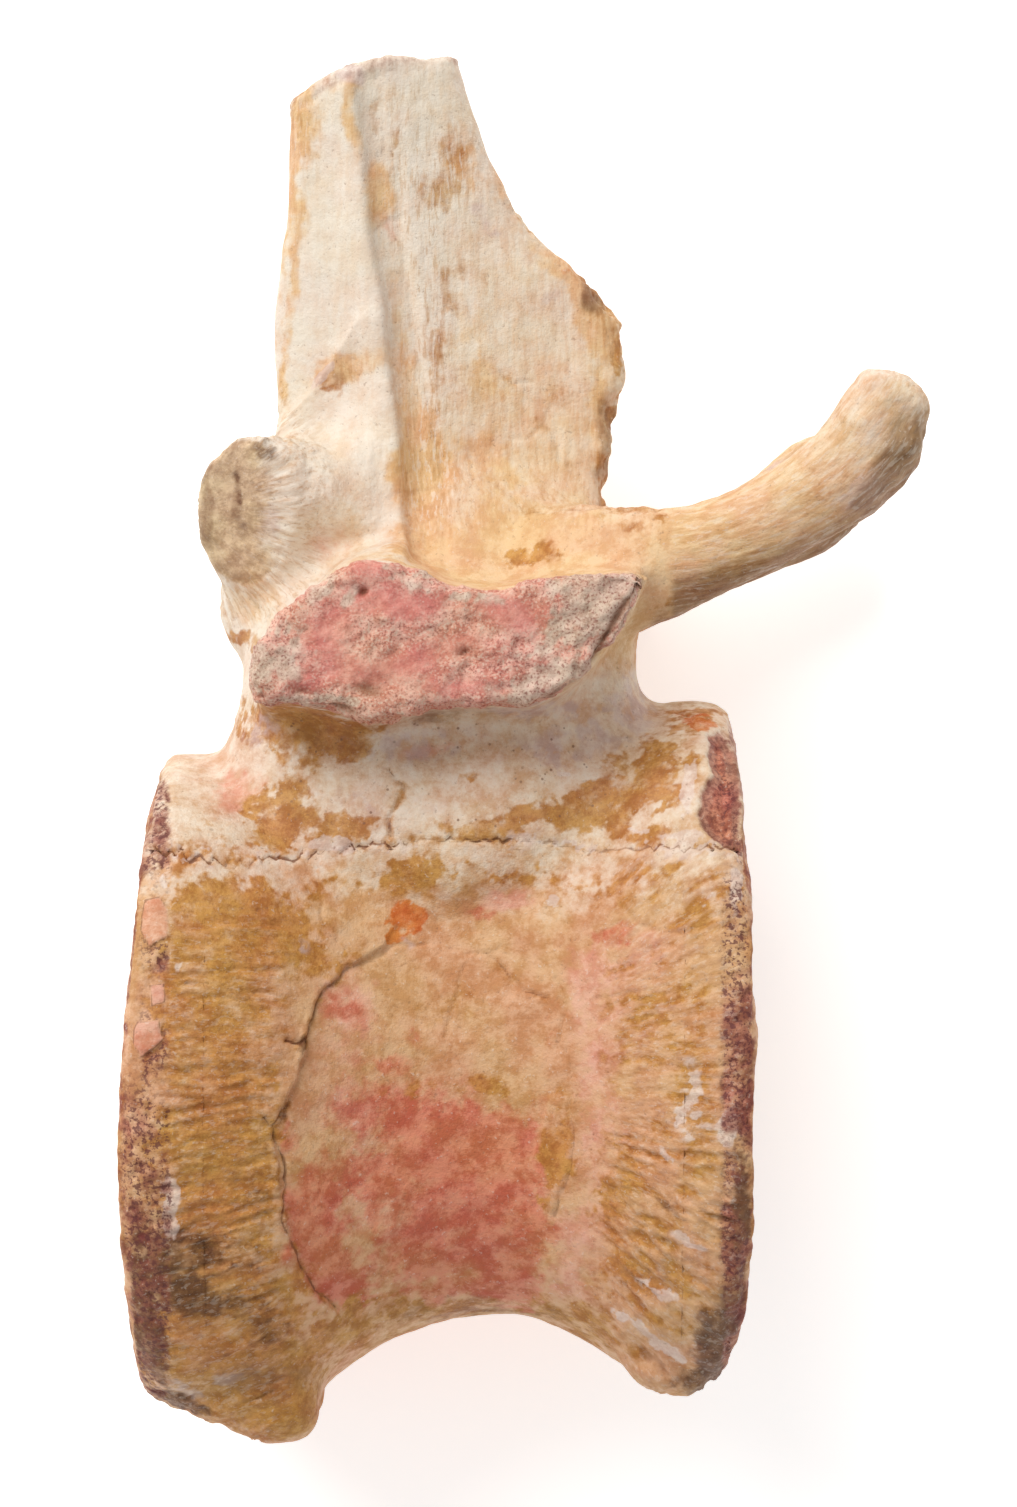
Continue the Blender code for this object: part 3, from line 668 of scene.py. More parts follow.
# %% Broken surfaces
BREAK_ROUGH, BREAK_GRIT, PIT_DEEP, TOP_ROUGH, TOP_GRIT = 5, 1.3, 1.6, 2.4, 0.6  # mm
crumble = noise(7, 101, layers=4, fade=0.62)
grit = noise(1.9, 111, layers=2, fade=0.8)
SMOOTH_ISLANDS = (
    (392, 602, 56, 15, 1, 6), (326, 632, 26, 20, 1, -40), (405, 666, 44, 16, 1, -10),
    (512, 612, 34, 18, 1, 10), (460, 646, 30, 12, 0.7), (368, 574, 24, 9, 0.8),
    (352, 664, 30, 16, 0.9, 20), (455, 690, 50, 9, 0.8), (300, 676, 20, 12, 0.7),
)
island = dabs(SMOOTH_ISLANDS, bend=22)
crumbly = rough(crumble, BREAK_ROUGH) + rough(grit, BREAK_GRIT)
relief += broken_root * crumbly * (1 - 0.6 * island)
BREAK_PITS = (
    (363, 592, 4, 4, 1), (370, 690, 14, 7, 0.9, 20), (345, 712, 16, 6, 0.9, 10),
    (466, 655, 5, 4, 0.7), (300, 690, 12, 5, 0.6, 15), (560, 690, 20, 5, 0.7, -20),
)
BREAK_CRACK = ((648, 574), (640, 590), (622, 610), (606, 636), (596, 662))
break_pits = np.maximum(dabs(BREAK_PITS, bend=14), bell(line_gap(BREAK_CRACK), 6))
break_pits *= ramp(side_out, 44, 48) * in_root
relief -= break_pits * PIT_DEEP
relief += spine_top * (rough(crumble, TOP_ROUGH) + rough(grit, TOP_GRIT))
print("points in the broken roots' pits:", int((break_pits > 0.5).sum()))

# %% Rims with pores and chips of shell
SHELL_THICK, PORE_DEEP, CHIP_HIGH = 0.3, 0.6, 0.25  # mm
rim_x = px + wander[0] * 10 + flicker[0] * 8
rim_crest = np.maximum.reduce([
    fall(forward, -80, -77.5), ramp(forward, 44, 46), fall(rim_x, 166, 174), ramp(rim_x, 718, 726),
])
rim_crest *= (1 - joint_face) * fall(up, -10, -2)
CHIPS = (
    ((144, 902), (160, 898), (172, 915), (168, 935), (150, 944), (142, 925)),
    ((138, 1022), (158, 1020), (164, 1040), (150, 1050), (140, 1058), (134, 1045)),
    ((150, 985), (164, 984), (165, 1004), (152, 1006)),
)
chips = np.zeros(count, np.float32)
chip_edges = np.zeros(count, np.float32)
for outline in CHIPS:
    chip_depth = patch(outline, bend=9)
    chips = np.maximum(chips, ramp(chip_depth, -2, 2))
    chip_edges = np.maximum(chip_edges, bell(chip_depth, 3))
chips *= rim_crest
break_edge = 4 * broken_root * (1 - broken_root) * ramp(medium, 0.4, 0.6)
dark_lines = np.maximum.reduce([dark_lines, 0.88 * chip_edges * rim_crest, 0.86 * break_edge])
whole_rim = ramp(noise(18, 121), 0.50, 0.62) * 0.8
outer_strip = fall(rim_x, 136, 143) * fall(py, 1060, 1120)
porous = rim_crest * (1 - chips) * (1 - whole_rim) * (1 - 0.85 * outer_strip)
pores = ramp(noise(2.4, 131, layers=2, fade=0.9), 0.5, 0.75)
relief -= porous * (SHELL_THICK + pores * PORE_DEEP)
relief += chips * CHIP_HIGH
print("points on chips:", int((chips > 0.5).sum()), "and on bare rim:", int((porous > 0.5).sum()))

# %% The ragged front edge of the spine
RAGGED_ROUGH, RAGGED_GRIT = 6, 0.7  # mm
EDGE_UP = (30, 50, 60, 72, 94, 98, 105, 116, 150)
EDGE_FORWARD = (24, 16, 14, 16, 19, 14, 9, -4, -18)
edge_line = np.interp(up, EDGE_UP, EDGE_FORWARD)
ragged = ramp(forward - edge_line, -1.5, 2.5) * ramp(up, 46, 52) * (1 - is_arm)
ragged *= fall(up, 112, 128)
scallop = noise(9, 141, layers=3, fade=0.6)
relief += ragged * ((scallop - 0.56) * RAGGED_ROUGH + rough(grit, RAGGED_GRIT))
print("points on the ragged edge:", int((ragged > 0.5).sum()))

# %% The broken front corner of the arch
CORNER_EDGE, CORNER_DEEP, CORNER_ROUGH, CORNER_GRIT = 1.4, 1.6, 1.8, 0.6  # mm
CORNER = (
    (708, 736), (724, 726), (738, 750), (743, 800), (742, 850), (724, 848),
    (706, 834), (694, 812), (702, 790), (714, 772), (708, 754),
)
corner_depth = patch(CORNER, bend=16)
corner = ramp(corner_depth, -2, 4) * on_flank * ramp(up, -25, -23)
broken_off = CORNER_EDGE + CORNER_DEEP * ramp(corner_depth, 2, 22)
relief -= corner * (broken_off + rough(crumble, CORNER_ROUGH) + rough(grit, CORNER_GRIT))
print("points on the broken corner:", int((corner > 0.5).sum()))

# %% Facets and the fibres around them
FACET_DEEP, DISH_DEEP, FACET_ROUGH = 0.35, 0.7, 0.9  # mm
NEAR_FIBRES, BLADE_FIBRES, ARM_FIBRES = 1, 0.4, 0.35  # mm
FACET_DISHES = ((233, 505, 12, 44, 1, -6), (262, 540, 14, 20, 0.5))
facet_dish = dabs(FACET_DISHES, bend=12, pushed=False)
relief -= facet * (FACET_DEEP + DISH_DEEP * facet_dish)
relief += facet * rough(noise(3, 151, layers=2), FACET_ROUGH)
relief += near_facet * rough(grain_noise(1.3, 161), NEAR_FIBRES)
relief += rough(grain_noise(1.7, 171), BLADE_FIBRES * blade + ARM_FIBRES * on_arm)

# %% Rings on the joint faces, and the flaky tip of the arm
FACE_Y, FACE_TALL, FACE_WIDE = -78, 57, 56
RING_HIGH, NOTOCHORD_DEEP, FACE_ROUGH, TIP_ROUGH = 0.3, 0.9, 1.2, 1.8  # mm
face_reach = np.hypot((up - FACE_Y) / FACE_TALL, out / FACE_WIDE)
face_rings = np.sin(face_reach * 36 + 5 * coarse) * ramp(face_reach, 0.2, 0.45)
relief += joint_face * (RING_HIGH * face_rings - NOTOCHORD_DEEP * bell(face_reach, 0.16))
relief += joint_face * rough(noise(5, 181, layers=3, fade=0.7), FACE_ROUGH)
relief += on_arm * ramp(px, 845, 872) * rough(noise(4.5, 185, layers=2), TIP_ROUGH)
print("relief from", round(float(relief.min()), 2), "to", round(float(relief.max()), 2), "mm")

# %% How far each point will move
FILL = 7  # mm of bone between the back joint and the ridge
FILLED = ((350, 490, 28, 48, 1),)
REACH_PAST_FRAME = 1.5  # mm
moved = points + normals * relief[:, None]
filled = dabs(FILLED, bend=10, pushed=False) * ramp(side_out, 8, 12)
moved[:, 2] += np.sign(out) * filled * FILL * ramp(up, 40, 48)
box_low, box_high = np.array(cad_box) / MM
moved = np.clip(moved, box_low - REACH_PAST_FRAME, box_high + REACH_PAST_FRAME)
moved[:, 2] = np.maximum(moved[:, 2], 0)
keep_vectors("move", (moved - points) * MM)
print("farthest move:", round(float(np.abs(moved - points).max()), 2), "mm")

# %% [markdown]
# ## Stains
# Iron in the sand left the colours: cream where the bone is cleanest, ochre and brown where iron
# gathered, brick red in the sunken field, and grey-lilac films of another mineral. Each stain is
# one column from 0 to 1, made of dabs whose edges and insides are eaten by noise. The noise is
# drawn out along the bone's own fibres.
# The umber dabs are mostly painted shade: under the arm, under the broken root's lip, along the
# centrum's bottom.

# %% Noises that eat into the stains
def evened(values):
    """The same noise, spread evenly over 0 to 1."""
    return 1 / (1 + np.exp(-1.7 * (values - values.mean()) / values.std()))


def fibrous(seed):
    """Even noise, drawn out along the grain where it shows."""
    plain = evened(noise(7, seed + 9, layers=4, fade=0.75))
    fine_plain = evened(noise(3, seed + 13, layers=3, fade=0.8))
    drawn = fine_plain + (evened(grain_noise(4.5, seed, layers=3)) - fine_plain) * on_fibres
    return evened(plain + 1.2 * drawn)


eaten = [fibrous(seed) for seed in (201, 221, 241)]


def bitten_dabs(marks, which, bite=0.6, bend=30, soft=0.16):
    """Dabs whose edges and insides are eaten by one of the noises."""
    covered = ramp(dabs(marks, bend) + (eaten[which] - 0.5) * bite, 0.5 - soft, 0.5 + soft)
    return covered * (0.7 + 0.3 * ramp(eaten[which - 1], 0, 0.7))


print("noises for the edges of stains:", len(eaten))

# %% Where each stain lies: a middle, half width, half height, strength and turn
OCHRE = (
    (300, 730, 56, 28, 1, 8), (345, 740, 34, 18, 0.9, -18), (275, 704, 30, 9, 0.9, 5),
    (292, 815, 24, 36, 0.9), (345, 832, 34, 16, 0.9), (262, 822, 14, 26, 0.7),
    (612, 792, 46, 22, 1, -20), (560, 818, 60, 13, 1, -8), (480, 824, 40, 9, 0.8),
    (662, 770, 34, 34, 0.7, 10), (640, 752, 40, 16, 0.6, -20), (440, 868, 70, 10, 0.6, 3),
    (475, 770, 14, 9, 0.6), (640, 832, 30, 12, 0.6), (700, 714, 30, 14, 0.7, 15),
    (215, 1000, 60, 130, 1), (215, 1190, 60, 120, 1), (210, 900, 34, 20, 0.6),
    (225, 1340, 90, 60, 1, -20), (260, 940, 30, 46, 0.9), (640, 1010, 32, 80, 0.6),
    (680, 890, 60, 30, 0.7, 10), (695, 960, 26, 50, 0.5), (690, 1110, 30, 95, 0.6),
    (650, 1240, 50, 95, 1, -15), (600, 882, 60, 18, 0.6), (500, 872, 60, 12, 0.4),
    (260, 1405, 70, 38, 1), (330, 960, 20, 20, 0.6, 15), (345, 890, 50, 12, 0.5, -8),
    (470, 1012, 66, 20, 0.35), (557, 1150, 18, 58, 0.9, 5), (492, 1082, 24, 12, 0.9),
    (420, 1085, 50, 10, 0.3), (350, 1330, 60, 20, 0.8, -25), (480, 1312, 90, 10, 0.6),
    (590, 1330, 50, 22, 0.7, 30), (305, 955, 22, 34, 0.5, 15), (410, 890, 30, 12, 0.5),
    (452, 160, 12, 26, 0.9, 10), (440, 196, 16, 20, 0.9), (386, 112, 7, 44, 0.6),
    (402, 160, 5, 38, 0.5), (345, 378, 26, 20, 0.6, -20), (298, 118, 8, 26, 0.6),
    (418, 300, 7, 80, 0.45), (740, 568, 50, 10, 0.9, -22), (700, 590, 36, 8, 0.8, -15),
    (832, 492, 34, 14, 0.6, -42), (234, 606, 14, 16, 0.7), (590, 300, 18, 26, 0.6, -20),
    (246, 642, 18, 8, 0.9, 20), (606, 420, 9, 60, 0.6), (575, 268, 16, 10, 0.7, 20),
    (520, 440, 30, 30, 0.4), (560, 490, 50, 12, 0.45), (436, 400, 8, 60, 0.45),
    (690, 540, 60, 10, 0.25, -12), (290, 420, 10, 30, 0.5), (480, 180, 10, 22, 0.4, -20),
    (850, 520, 30, 10, 0.6, -40), (500, 560, 60, 10, 0.4), (352, 108, 8, 50, 0.35),
    (430, 330, 14, 60, 0.55), (450, 290, 16, 40, 0.5), (445, 380, 12, 60, 0.55),
    (412, 470, 8, 70, 0.5, -4), (470, 400, 16, 60, 0.4), (400, 120, 6, 60, 0.5),
    (800, 480, 60, 10, 0.35, -35), (760, 520, 70, 10, 0.3, -25), (640, 520, 50, 10, 0.5),
    (285, 620, 20, 20, 0.3), (560, 400, 20, 30, 0.35), (596, 330, 10, 40, 0.4),
    (480, 290, 10, 30, 0.4), (540, 560, 50, 8, 0.45),
)
# The dab at 345, 712, under the broken root's lower lip, is painted shade in a pit
DARK = (
    (180, 1290, 46, 22, 1, 10), (155, 1262, 22, 24, 1), (205, 1302, 26, 10, 0.9),
    (148, 1335, 16, 50, 1, -8), (722, 1345, 24, 64, 1, 10), (744, 1250, 12, 80, 1),
    (185, 1402, 28, 9, 0.9, 25), (130, 1290, 9, 80, 0.8), (200, 1240, 50, 10, 0.6, 5),
    (700, 1385, 34, 10, 0.8), (222, 1262, 50, 16, 0.5, 8), (388, 140, 3, 24, 0.6),
    (448, 178, 6, 14, 0.5), (300, 1048, 7, 12, 0.7, 10), (262, 1190, 12, 50, 0.35, 10),
    (345, 712, 22, 5, 0.6, 8), (905, 440, 12, 24, 0.35, 10), (275, 125, 5, 30, 0.25),
    (280, 1120, 8, 16, 0.5), (668, 1205, 20, 5, 0.5, 25), (238, 500, 6, 46, 0.45, -6),
    (612, 470, 5, 20, 0.6), (262, 452, 12, 12, 0.4), (738, 1200, 8, 60, 0.6),
    (255, 1330, 60, 30, 0.35, -20),
)
RED = (
    (440, 1128, 56, 24, 1, 8), (400, 1090, 20, 20, 0.8), (392, 1062, 22, 9, 0.7),
    (502, 1200, 36, 50, 1), (465, 1165, 44, 34, 1), (306, 1210, 18, 34, 1, 10),
    (337, 1285, 22, 34, 0.9, -20), (436, 1260, 24, 17, 0.9), (503, 1267, 32, 28, 1),
    (345, 1005, 22, 20, 0.5, -5), (622, 928, 18, 8, 0.7, -20), (484, 908, 12, 7, 0.7),
    (380, 1180, 50, 30, 0.45), (285, 1145, 9, 16, 0.7), (440, 1296, 60, 8, 0.45),
    (700, 704, 12, 6, 0.3), (455, 750, 22, 5, 0.3, -8), (590, 735, 12, 9, 0.3),
    (405, 1030, 20, 16, 0.35), (560, 1010, 8, 30, 0.3), (350, 860, 9, 5, 0.3),
    (505, 1240, 40, 40, 0.8), (320, 1250, 26, 40, 0.8, -10), (420, 1230, 60, 30, 0.4),
    (470, 1150, 90, 70, 0.5), (400, 1265, 70, 34, 0.5), (310, 1220, 26, 60, 0.5),
    (480, 1215, 60, 70, 0.45), (350, 1120, 40, 50, 0.3), (520, 1290, 40, 14, 0.5),
)
# Mostly painted shade: under the arm, under the broken root's lower lip and along the bottom of the
# centrum
SHADE_AND_UMBER = (
    (904, 465, 26, 56, 1, 16), (868, 528, 50, 22, 1, -45), (775, 588, 100, 17, 1, -21),
    (250, 1385, 80, 26, 0.5), (460, 1312, 110, 14, 0.5), (725, 1340, 22, 60, 0.9, 10),
    (660, 1260, 40, 60, 0.35, -20), (190, 1270, 50, 50, 0.5), (668, 640, 16, 40, 0.5, 10),
    (690, 612, 40, 14, 0.5, -20), (800, 432, 40, 12, 0.6, -35), (400, 712, 120, 7, 0.5),
    (236, 500, 9, 44, 0.6, -4), (204, 520, 8, 70, 0.8), (250, 436, 40, 8, 0.5, -8),
    (605, 440, 8, 60, 0.6), (590, 296, 12, 20, 0.7, -30), (345, 376, 18, 14, 0.5, -30),
    (745, 1320, 10, 80, 0.6), (128, 1290, 8, 80, 0.5),
)
GOLD = (
    (300, 122, 16, 40, 0.9, 4), (290, 250, 9, 120, 0.7, 2), (382, 198, 17, 34, 0.9),
    (355, 125, 9, 50, 0.7, -4), (398, 350, 14, 44, 0.5, -4), (350, 368, 34, 18, 0.8, -8),
    (422, 470, 24, 90, 1, -4), (490, 472, 54, 36, 0.7), (525, 390, 46, 40, 0.45),
    (596, 318, 22, 36, 0.9, -20), (512, 192, 18, 36, 0.7, -30), (460, 170, 20, 34, 0.6, 10),
    (600, 430, 16, 60, 0.8), (286, 400, 10, 30, 0.6), (520, 540, 120, 30, 0.8),
    (430, 560, 40, 30, 0.6), (300, 610, 50, 24, 0.35), (252, 600, 24, 30, 0.7),
    (330, 90, 30, 14, 0.3), (640, 505, 40, 20, 0.5), (290, 470, 16, 30, 0.5),
    (385, 285, 12, 30, 0.3, -4), (570, 275, 26, 16, 1, 30), (612, 330, 14, 30, 1),
    (545, 255, 22, 18, 0.5, 30), (780, 545, 60, 12, 0.5, -25), (850, 400, 30, 30, 0.4),
    (700, 525, 60, 14, 0.4, -15), (470, 340, 26, 70, 0.35),
)
STREAKED = (
    (424, 320, 24, 250, 1, -3), (300, 140, 16, 50, 0.5), (455, 180, 22, 40, 0.9, 10),
    (440, 500, 40, 60, 0.4), (290, 430, 16, 40, 0.4, 20),
)
ORANGE = (
    (408, 918, 24, 17, 1, -5), (394, 940, 12, 8, 0.9), (702, 720, 22, 10, 0.7, 15),
    (830, 554, 12, 5, 1), (566, 272, 12, 9, 0.4), (655, 762, 12, 24, 0.3),
)
PINK = (
    (603, 1120, 22, 130, 0.62), (572, 1245, 26, 52, 0.75), (592, 990, 26, 42, 0.65),
    (345, 1100, 34, 60, 0.5), (242, 792, 18, 26, 0.8), (430, 748, 36, 8, 0.6, -5),
    (640, 940, 30, 20, 0.5), (350, 1000, 26, 28, 0.9), (410, 1215, 60, 24, 0.8),
    (505, 898, 24, 9, 0.8), (258, 720, 14, 14, 0.4), (402, 226, 10, 20, 0.4),
    (330, 540, 24, 24, 0.3), (655, 640, 8, 26, 0.4), (640, 1000, 40, 60, 0.4),
)
LILAC = (
    (595, 732, 44, 20, 0.6), (545, 708, 50, 9, 0.7), (350, 75, 12, 9, 0.9), (560, 760, 40, 14, 0.4),
    (340, 852, 14, 7, 0.6), (505, 236, 22, 16, 0.5, 30), (548, 290, 14, 14, 0.35),
    (300, 945, 9, 8, 0.5), (560, 865, 20, 6, 0.3), (262, 732, 14, 16, 0.7), (225, 1380, 14, 8, 0.6),
    (185, 1385, 26, 8, 0.6, 20), (630, 700, 22, 30, 0.5), (478, 212, 9, 12, 0.4),
    (410, 945, 9, 5, 0.8), (430, 745, 80, 24, 0.45), (860, 500, 30, 20, 0.5, -40),
    (390, 800, 60, 20, 0.3), (264, 505, 13, 34, 0.7, -8),
)
WHITE = (
    (688, 790, 7, 34, 0.9, 5), (690, 834, 26, 7, 0.8), (640, 828, 10, 3, 0.9),
    (182, 960, 6, 22, 0.4), (168, 1205, 9, 32, 0.8), (729, 1130, 9, 22, 0.9),
    (330, 848, 24, 8, 0.7), (625, 1100, 6, 30, 0.3), (672, 1160, 22, 7, 0.6, 30),
    (640, 1325, 30, 7, 0.7, 35), (665, 1352, 34, 6, 0.7, 35), (690, 1240, 20, 6, 0.5, 25),
    (560, 842, 26, 5, 0.6), (200, 852, 26, 6, 0.4), (735, 880, 8, 30, 0.5),
    (705, 900, 8, 30, 0.4, 20), (690, 1090, 14, 30, 0.4), (590, 880, 30, 8, 0.3),
    (690, 1125, 22, 20, 0.4), (550, 900, 26, 8, 0.35), (565, 775, 8, 4, 0.8),
    (660, 1290, 24, 8, 0.6, 30), (165, 880, 7, 14, 0.4), (325, 375, 5, 16, 0.8, 35),
)
GREY_GRIT = (
    (596, 602, 46, 40, 1, -25), (560, 676, 56, 16, 0.9, -15), (350, 700, 40, 7, 0.7, 10),
    (410, 582, 26, 8, 0.8, 20), (280, 655, 22, 30, 0.7), (345, 600, 16, 12, 0.6),
    (262, 668, 12, 26, 0.8), (300, 705, 30, 8, 0.6, 10), (470, 600, 34, 7, 0.6),
    (430, 580, 20, 6, 0.5, 30), (540, 645, 30, 8, 0.4, -20), (620, 580, 30, 8, 0.8),
    (320, 590, 20, 6, 0.5, -40),
)

# %% Make the stains and the painted shade
ochre = bitten_dabs(OCHRE, 0, soft=0.3)
# Mostly painted shade, and more painted shade along the lower side of the arm's bow
shade_and_umber = bitten_dabs(SHADE_AND_UMBER, 2, bite=0.2, soft=0.45)
arm_underside_shade = on_arm * ramp(arm_reach + 3 * (medium - 0.5), 70, 77.5)
shade_and_umber = np.maximum(shade_and_umber, 0.85 * arm_underside_shade)
gold = 1.25 * bitten_dabs(GOLD, 1, bite=0.3, soft=0.45)
streaks = dabs(STREAKED, bend=24) * blade * 0.7
streaks = streaks + near_facet * 0.6 + 0.35 * on_arm + 0.2 * bands
soft_ochre = bitten_dabs(OCHRE, 0, bite=0.45, soft=0.5)
ochre += (0.62 * soft_ochre - ochre) * np.maximum(blade, on_arm)
ochre *= 1 - 0.6 * near_facet
dark = bitten_dabs(DARK, 1, bend=20, bite=0.5, soft=0.4)
red = bitten_dabs(RED, 2, bend=44, bite=0.35, soft=0.48)
orange = bitten_dabs(ORANGE, 1, bend=12, bite=0.5, soft=0.25)
pink = bitten_dabs(PINK, 0, bite=0.35, soft=0.5)
lilac = bitten_dabs(LILAC, 2, bite=0.6, bend=18, soft=0.35)
white = bitten_dabs(WHITE, 1, bend=14)
grey_grit = bitten_dabs(GREY_GRIT, 0, bend=20, soft=0.3)
STAINS = (ochre, dark, red, orange, pink, lilac, white)
print("stains cover", [round(float(s.mean()), 3) for s in STAINS])

# %% Ground tones, and painted shade and highlight that follow the relief
# Partly a peach stain and partly painted shade on the right flank of the spine's ridge
RIDGE_FOOT = ((398, 330, 14, 220, 1, -4),)
above = 1 - ramp(py, 640, 700)
peach = 0.14 + 0.72 * ramp(py, 330, 520) * ramp(px, 395, 430) + 0.22 * ramp(px, 470, 540) * is_spine
peach += 0.3 * dabs(RIDGE_FOOT, bend=20) + 0.5 * blade * ramp(px, 410, 480)
peach += 0.3 * ramp(py, 440, 560) * between(px, 290, 330, 360, 400)
peach = np.clip(np.maximum(peach * (1 - 0.5 * blade), gold), 0, 1) * (0.35 + 0.65 * above)
peach *= 1 - 0.5 * near_facet
low_line = py + (eaten[0] - 0.5) * 60
tan = (0.42 + 0.50 * ramp(low_line, 830, 930)) * ramp(py, 670, 720) + 0.12 * is_arm
tan = np.clip(tan, 0, 0.92)
crack_halo = np.clip(cracks_near + 0.8 * suture_near, 0, 1) * ramp(eaten[1], 0.2, 0.7) * 0.75
edge_stain = ragged * 0.75 * ramp(eaten[0], 0.15, 0.6)
ridge_shade = back_band * fall(back_ridges, -0.1, 0.3) * 0.22
ridge_shade += front_band * fall(front_ridges, -0.1, 0.3) * 0.4 * front_strength
# Painted shade in the suture groove, the cracks, the broken root's pits and between the scars'
# ridges
hollow_shade = 0.35 * suture_groove + 0.35 * cracks + 0.7 * break_pits + ridge_shade
# Painted highlight on the crests of the scars' ridges
crest_highlight = back_band * ramp(back_ridges, 0.55, 0.95) * 0.4
crest_highlight += front_band * ramp(front_ridges, 0.45, 0.85) * 0.9
rim_red = np.where(px > 500, 0.72, 0.42) * (1 - 0.9 * fall(py, 940, 1010) * (px > 500))
red_rim = porous * (rim_red + 0.2 * pores + 0.5 * (eaten[1] - 0.5))
corner_core = corner * ramp(corner_depth, 4, 12)
red_rim = np.clip(red_rim + corner * 1.1 + spine_top * 0.35, 0, 1) * (1 - 0.35 * corner_core)
off_faces = 1 - 0.9 * joint_face
face_ochre = joint_face * ramp(noise(20, 191), 0.50, 0.64) * 0.7
face_umber = joint_face * (0.3 * ramp(face_rings, 0.3, 0.9) + 0.5 * fall(face_reach, 0.1, 0.45))
face_edge = joint_face * ramp(face_reach, 0.86, 0.97)
red_rim = np.clip(red_rim + face_edge * (0.2 + 0.6 * eaten[1]), 0, 1)
crusted = suture_crust * ramp(eaten[2], 0.72, 0.9)
pored = between(px, 250, 300, 580, 640) * between(py, 700, 725, 820, 845) * on_flank
facet_paint = facet * (1 - 0.85 * ramp(px + flicker[0] * 30, 246, 288))
all_ochre = np.maximum.reduce([ochre * off_faces, face_ochre, crack_halo, edge_stain])

# %% Store every column on the skin
COLUMNS = {
    "peach": peach,
    "tan": tan,
    # On those crests the ochre thins and the white column gains a painted highlight
    "ochre": all_ochre * (1 - chips) * (1 - 0.6 * crest_highlight),
    "dark": dark * off_faces,
    # The umber column is mostly painted shade
    "shade_and_umber": np.clip(shade_and_umber * off_faces + face_umber, 0, 1),
    "red": np.clip(1.15 * red * off_faces + 1.2 * corner_core, 0, 1),
    "orange": np.maximum(orange, chips * 0.3),
    "pink": np.maximum(pink, chips * 0.8),
    "lilac": lilac * off_faces,
    "white": np.clip(white * off_faces + crest_highlight * 0.3 + crusted * 0.7, 0, 1),
    # Painted shade in grooves, cracks and pits
    "hollow_shade": np.clip(hollow_shade, 0, 1),
    "dark_lines": dark_lines * (1 - joint_face),
    "streaks": np.clip(streaks, 0, 1),
    "pored": pored * ramp(medium, 0.4, 0.6),
    "broken": broken_root,
    "grey_grit": np.clip(grey_grit * broken_root, 0, 1),
    "red_rim": red_rim,
    "facet": facet_paint,
    "smooth_break": island * broken_root,
    "porous": np.clip(porous + 0.6 * corner, 0, 1),
    "fibres": on_fibres,
}
for name, values in COLUMNS.items():
    column = mesh.attributes.new(name, "FLOAT", "POINT")
    column.data.foreach_set("value", values.astype(np.float32))
keep_vectors("grain_place", grain_place)
print("columns:", len(COLUMNS))

# %% [markdown]
# ## The finish
# One material holds every colour of the fossil, painted shade and highlight too. It starts from
# clean cream bone, lays each stain and each painted shade over it where its column says, and breaks
# all edges up once more with fine noise. The bump adds fibres and pores that are too fine to
# sculpt.


# %% Small helpers for the fossil's nodes
fossil, nodes, links = principled("fossil_bone")


def plug(socket, value):
    """Gives a socket a number or a colour, or joins it to another node's output."""
    if isinstance(value, bpy.types.NodeSocket):
        links.new(value, socket)
    else:
        socket.default_value = (*value, 1) if isinstance(value, tuple) else value


def add_node(kind, **inputs):
    """A new node. An underscore stands for the space in an input's name."""
    node = nodes.new("ShaderNode" + kind)
    for name, value in inputs.items():
        plug(node.inputs[name.replace("_", " ")], value)
    return node


def add_math(operation, *values):
    node = add_node("Math")
    node.operation = operation
    for socket, value in zip(node.inputs, values):
        plug(socket, value)
    return node.outputs[0]


def add_column(name, output="Fac"):
    """The skin's column of that name."""
    node = add_node("Attribute")
    node.attribute_name = name
    return node.outputs[output]


def add_noise(vector, scale, detail, roughness):
    node = add_node("TexNoise", Vector=vector, Scale=scale, Detail=detail, Roughness=roughness)
    return node.outputs["Fac"]


def add_range(value, low, high, to_low=0, to_high=1):
    """Eases a value from one range to another."""
    ends = {"From_Min": low, "From_Max": high, "To_Min": to_low, "To_Max": to_high}
    node = add_node("MapRange", Value=value, **ends)
    node.interpolation_type = "SMOOTHSTEP"
    return node.outputs["Result"]


def add_mix(share, below, above):
    """Lays one colour over another. Each may be a colour or another node's output."""
    node = add_node("Mix")
    node.data_type = "RGBA"
    colors = [socket for socket in node.inputs if socket.type == "RGBA"]
    for socket, value in zip((node.inputs["Factor"], *colors), (share, below, above)):
        plug(socket, value)
    return next(socket for socket in node.outputs if socket.type == "RGBA")


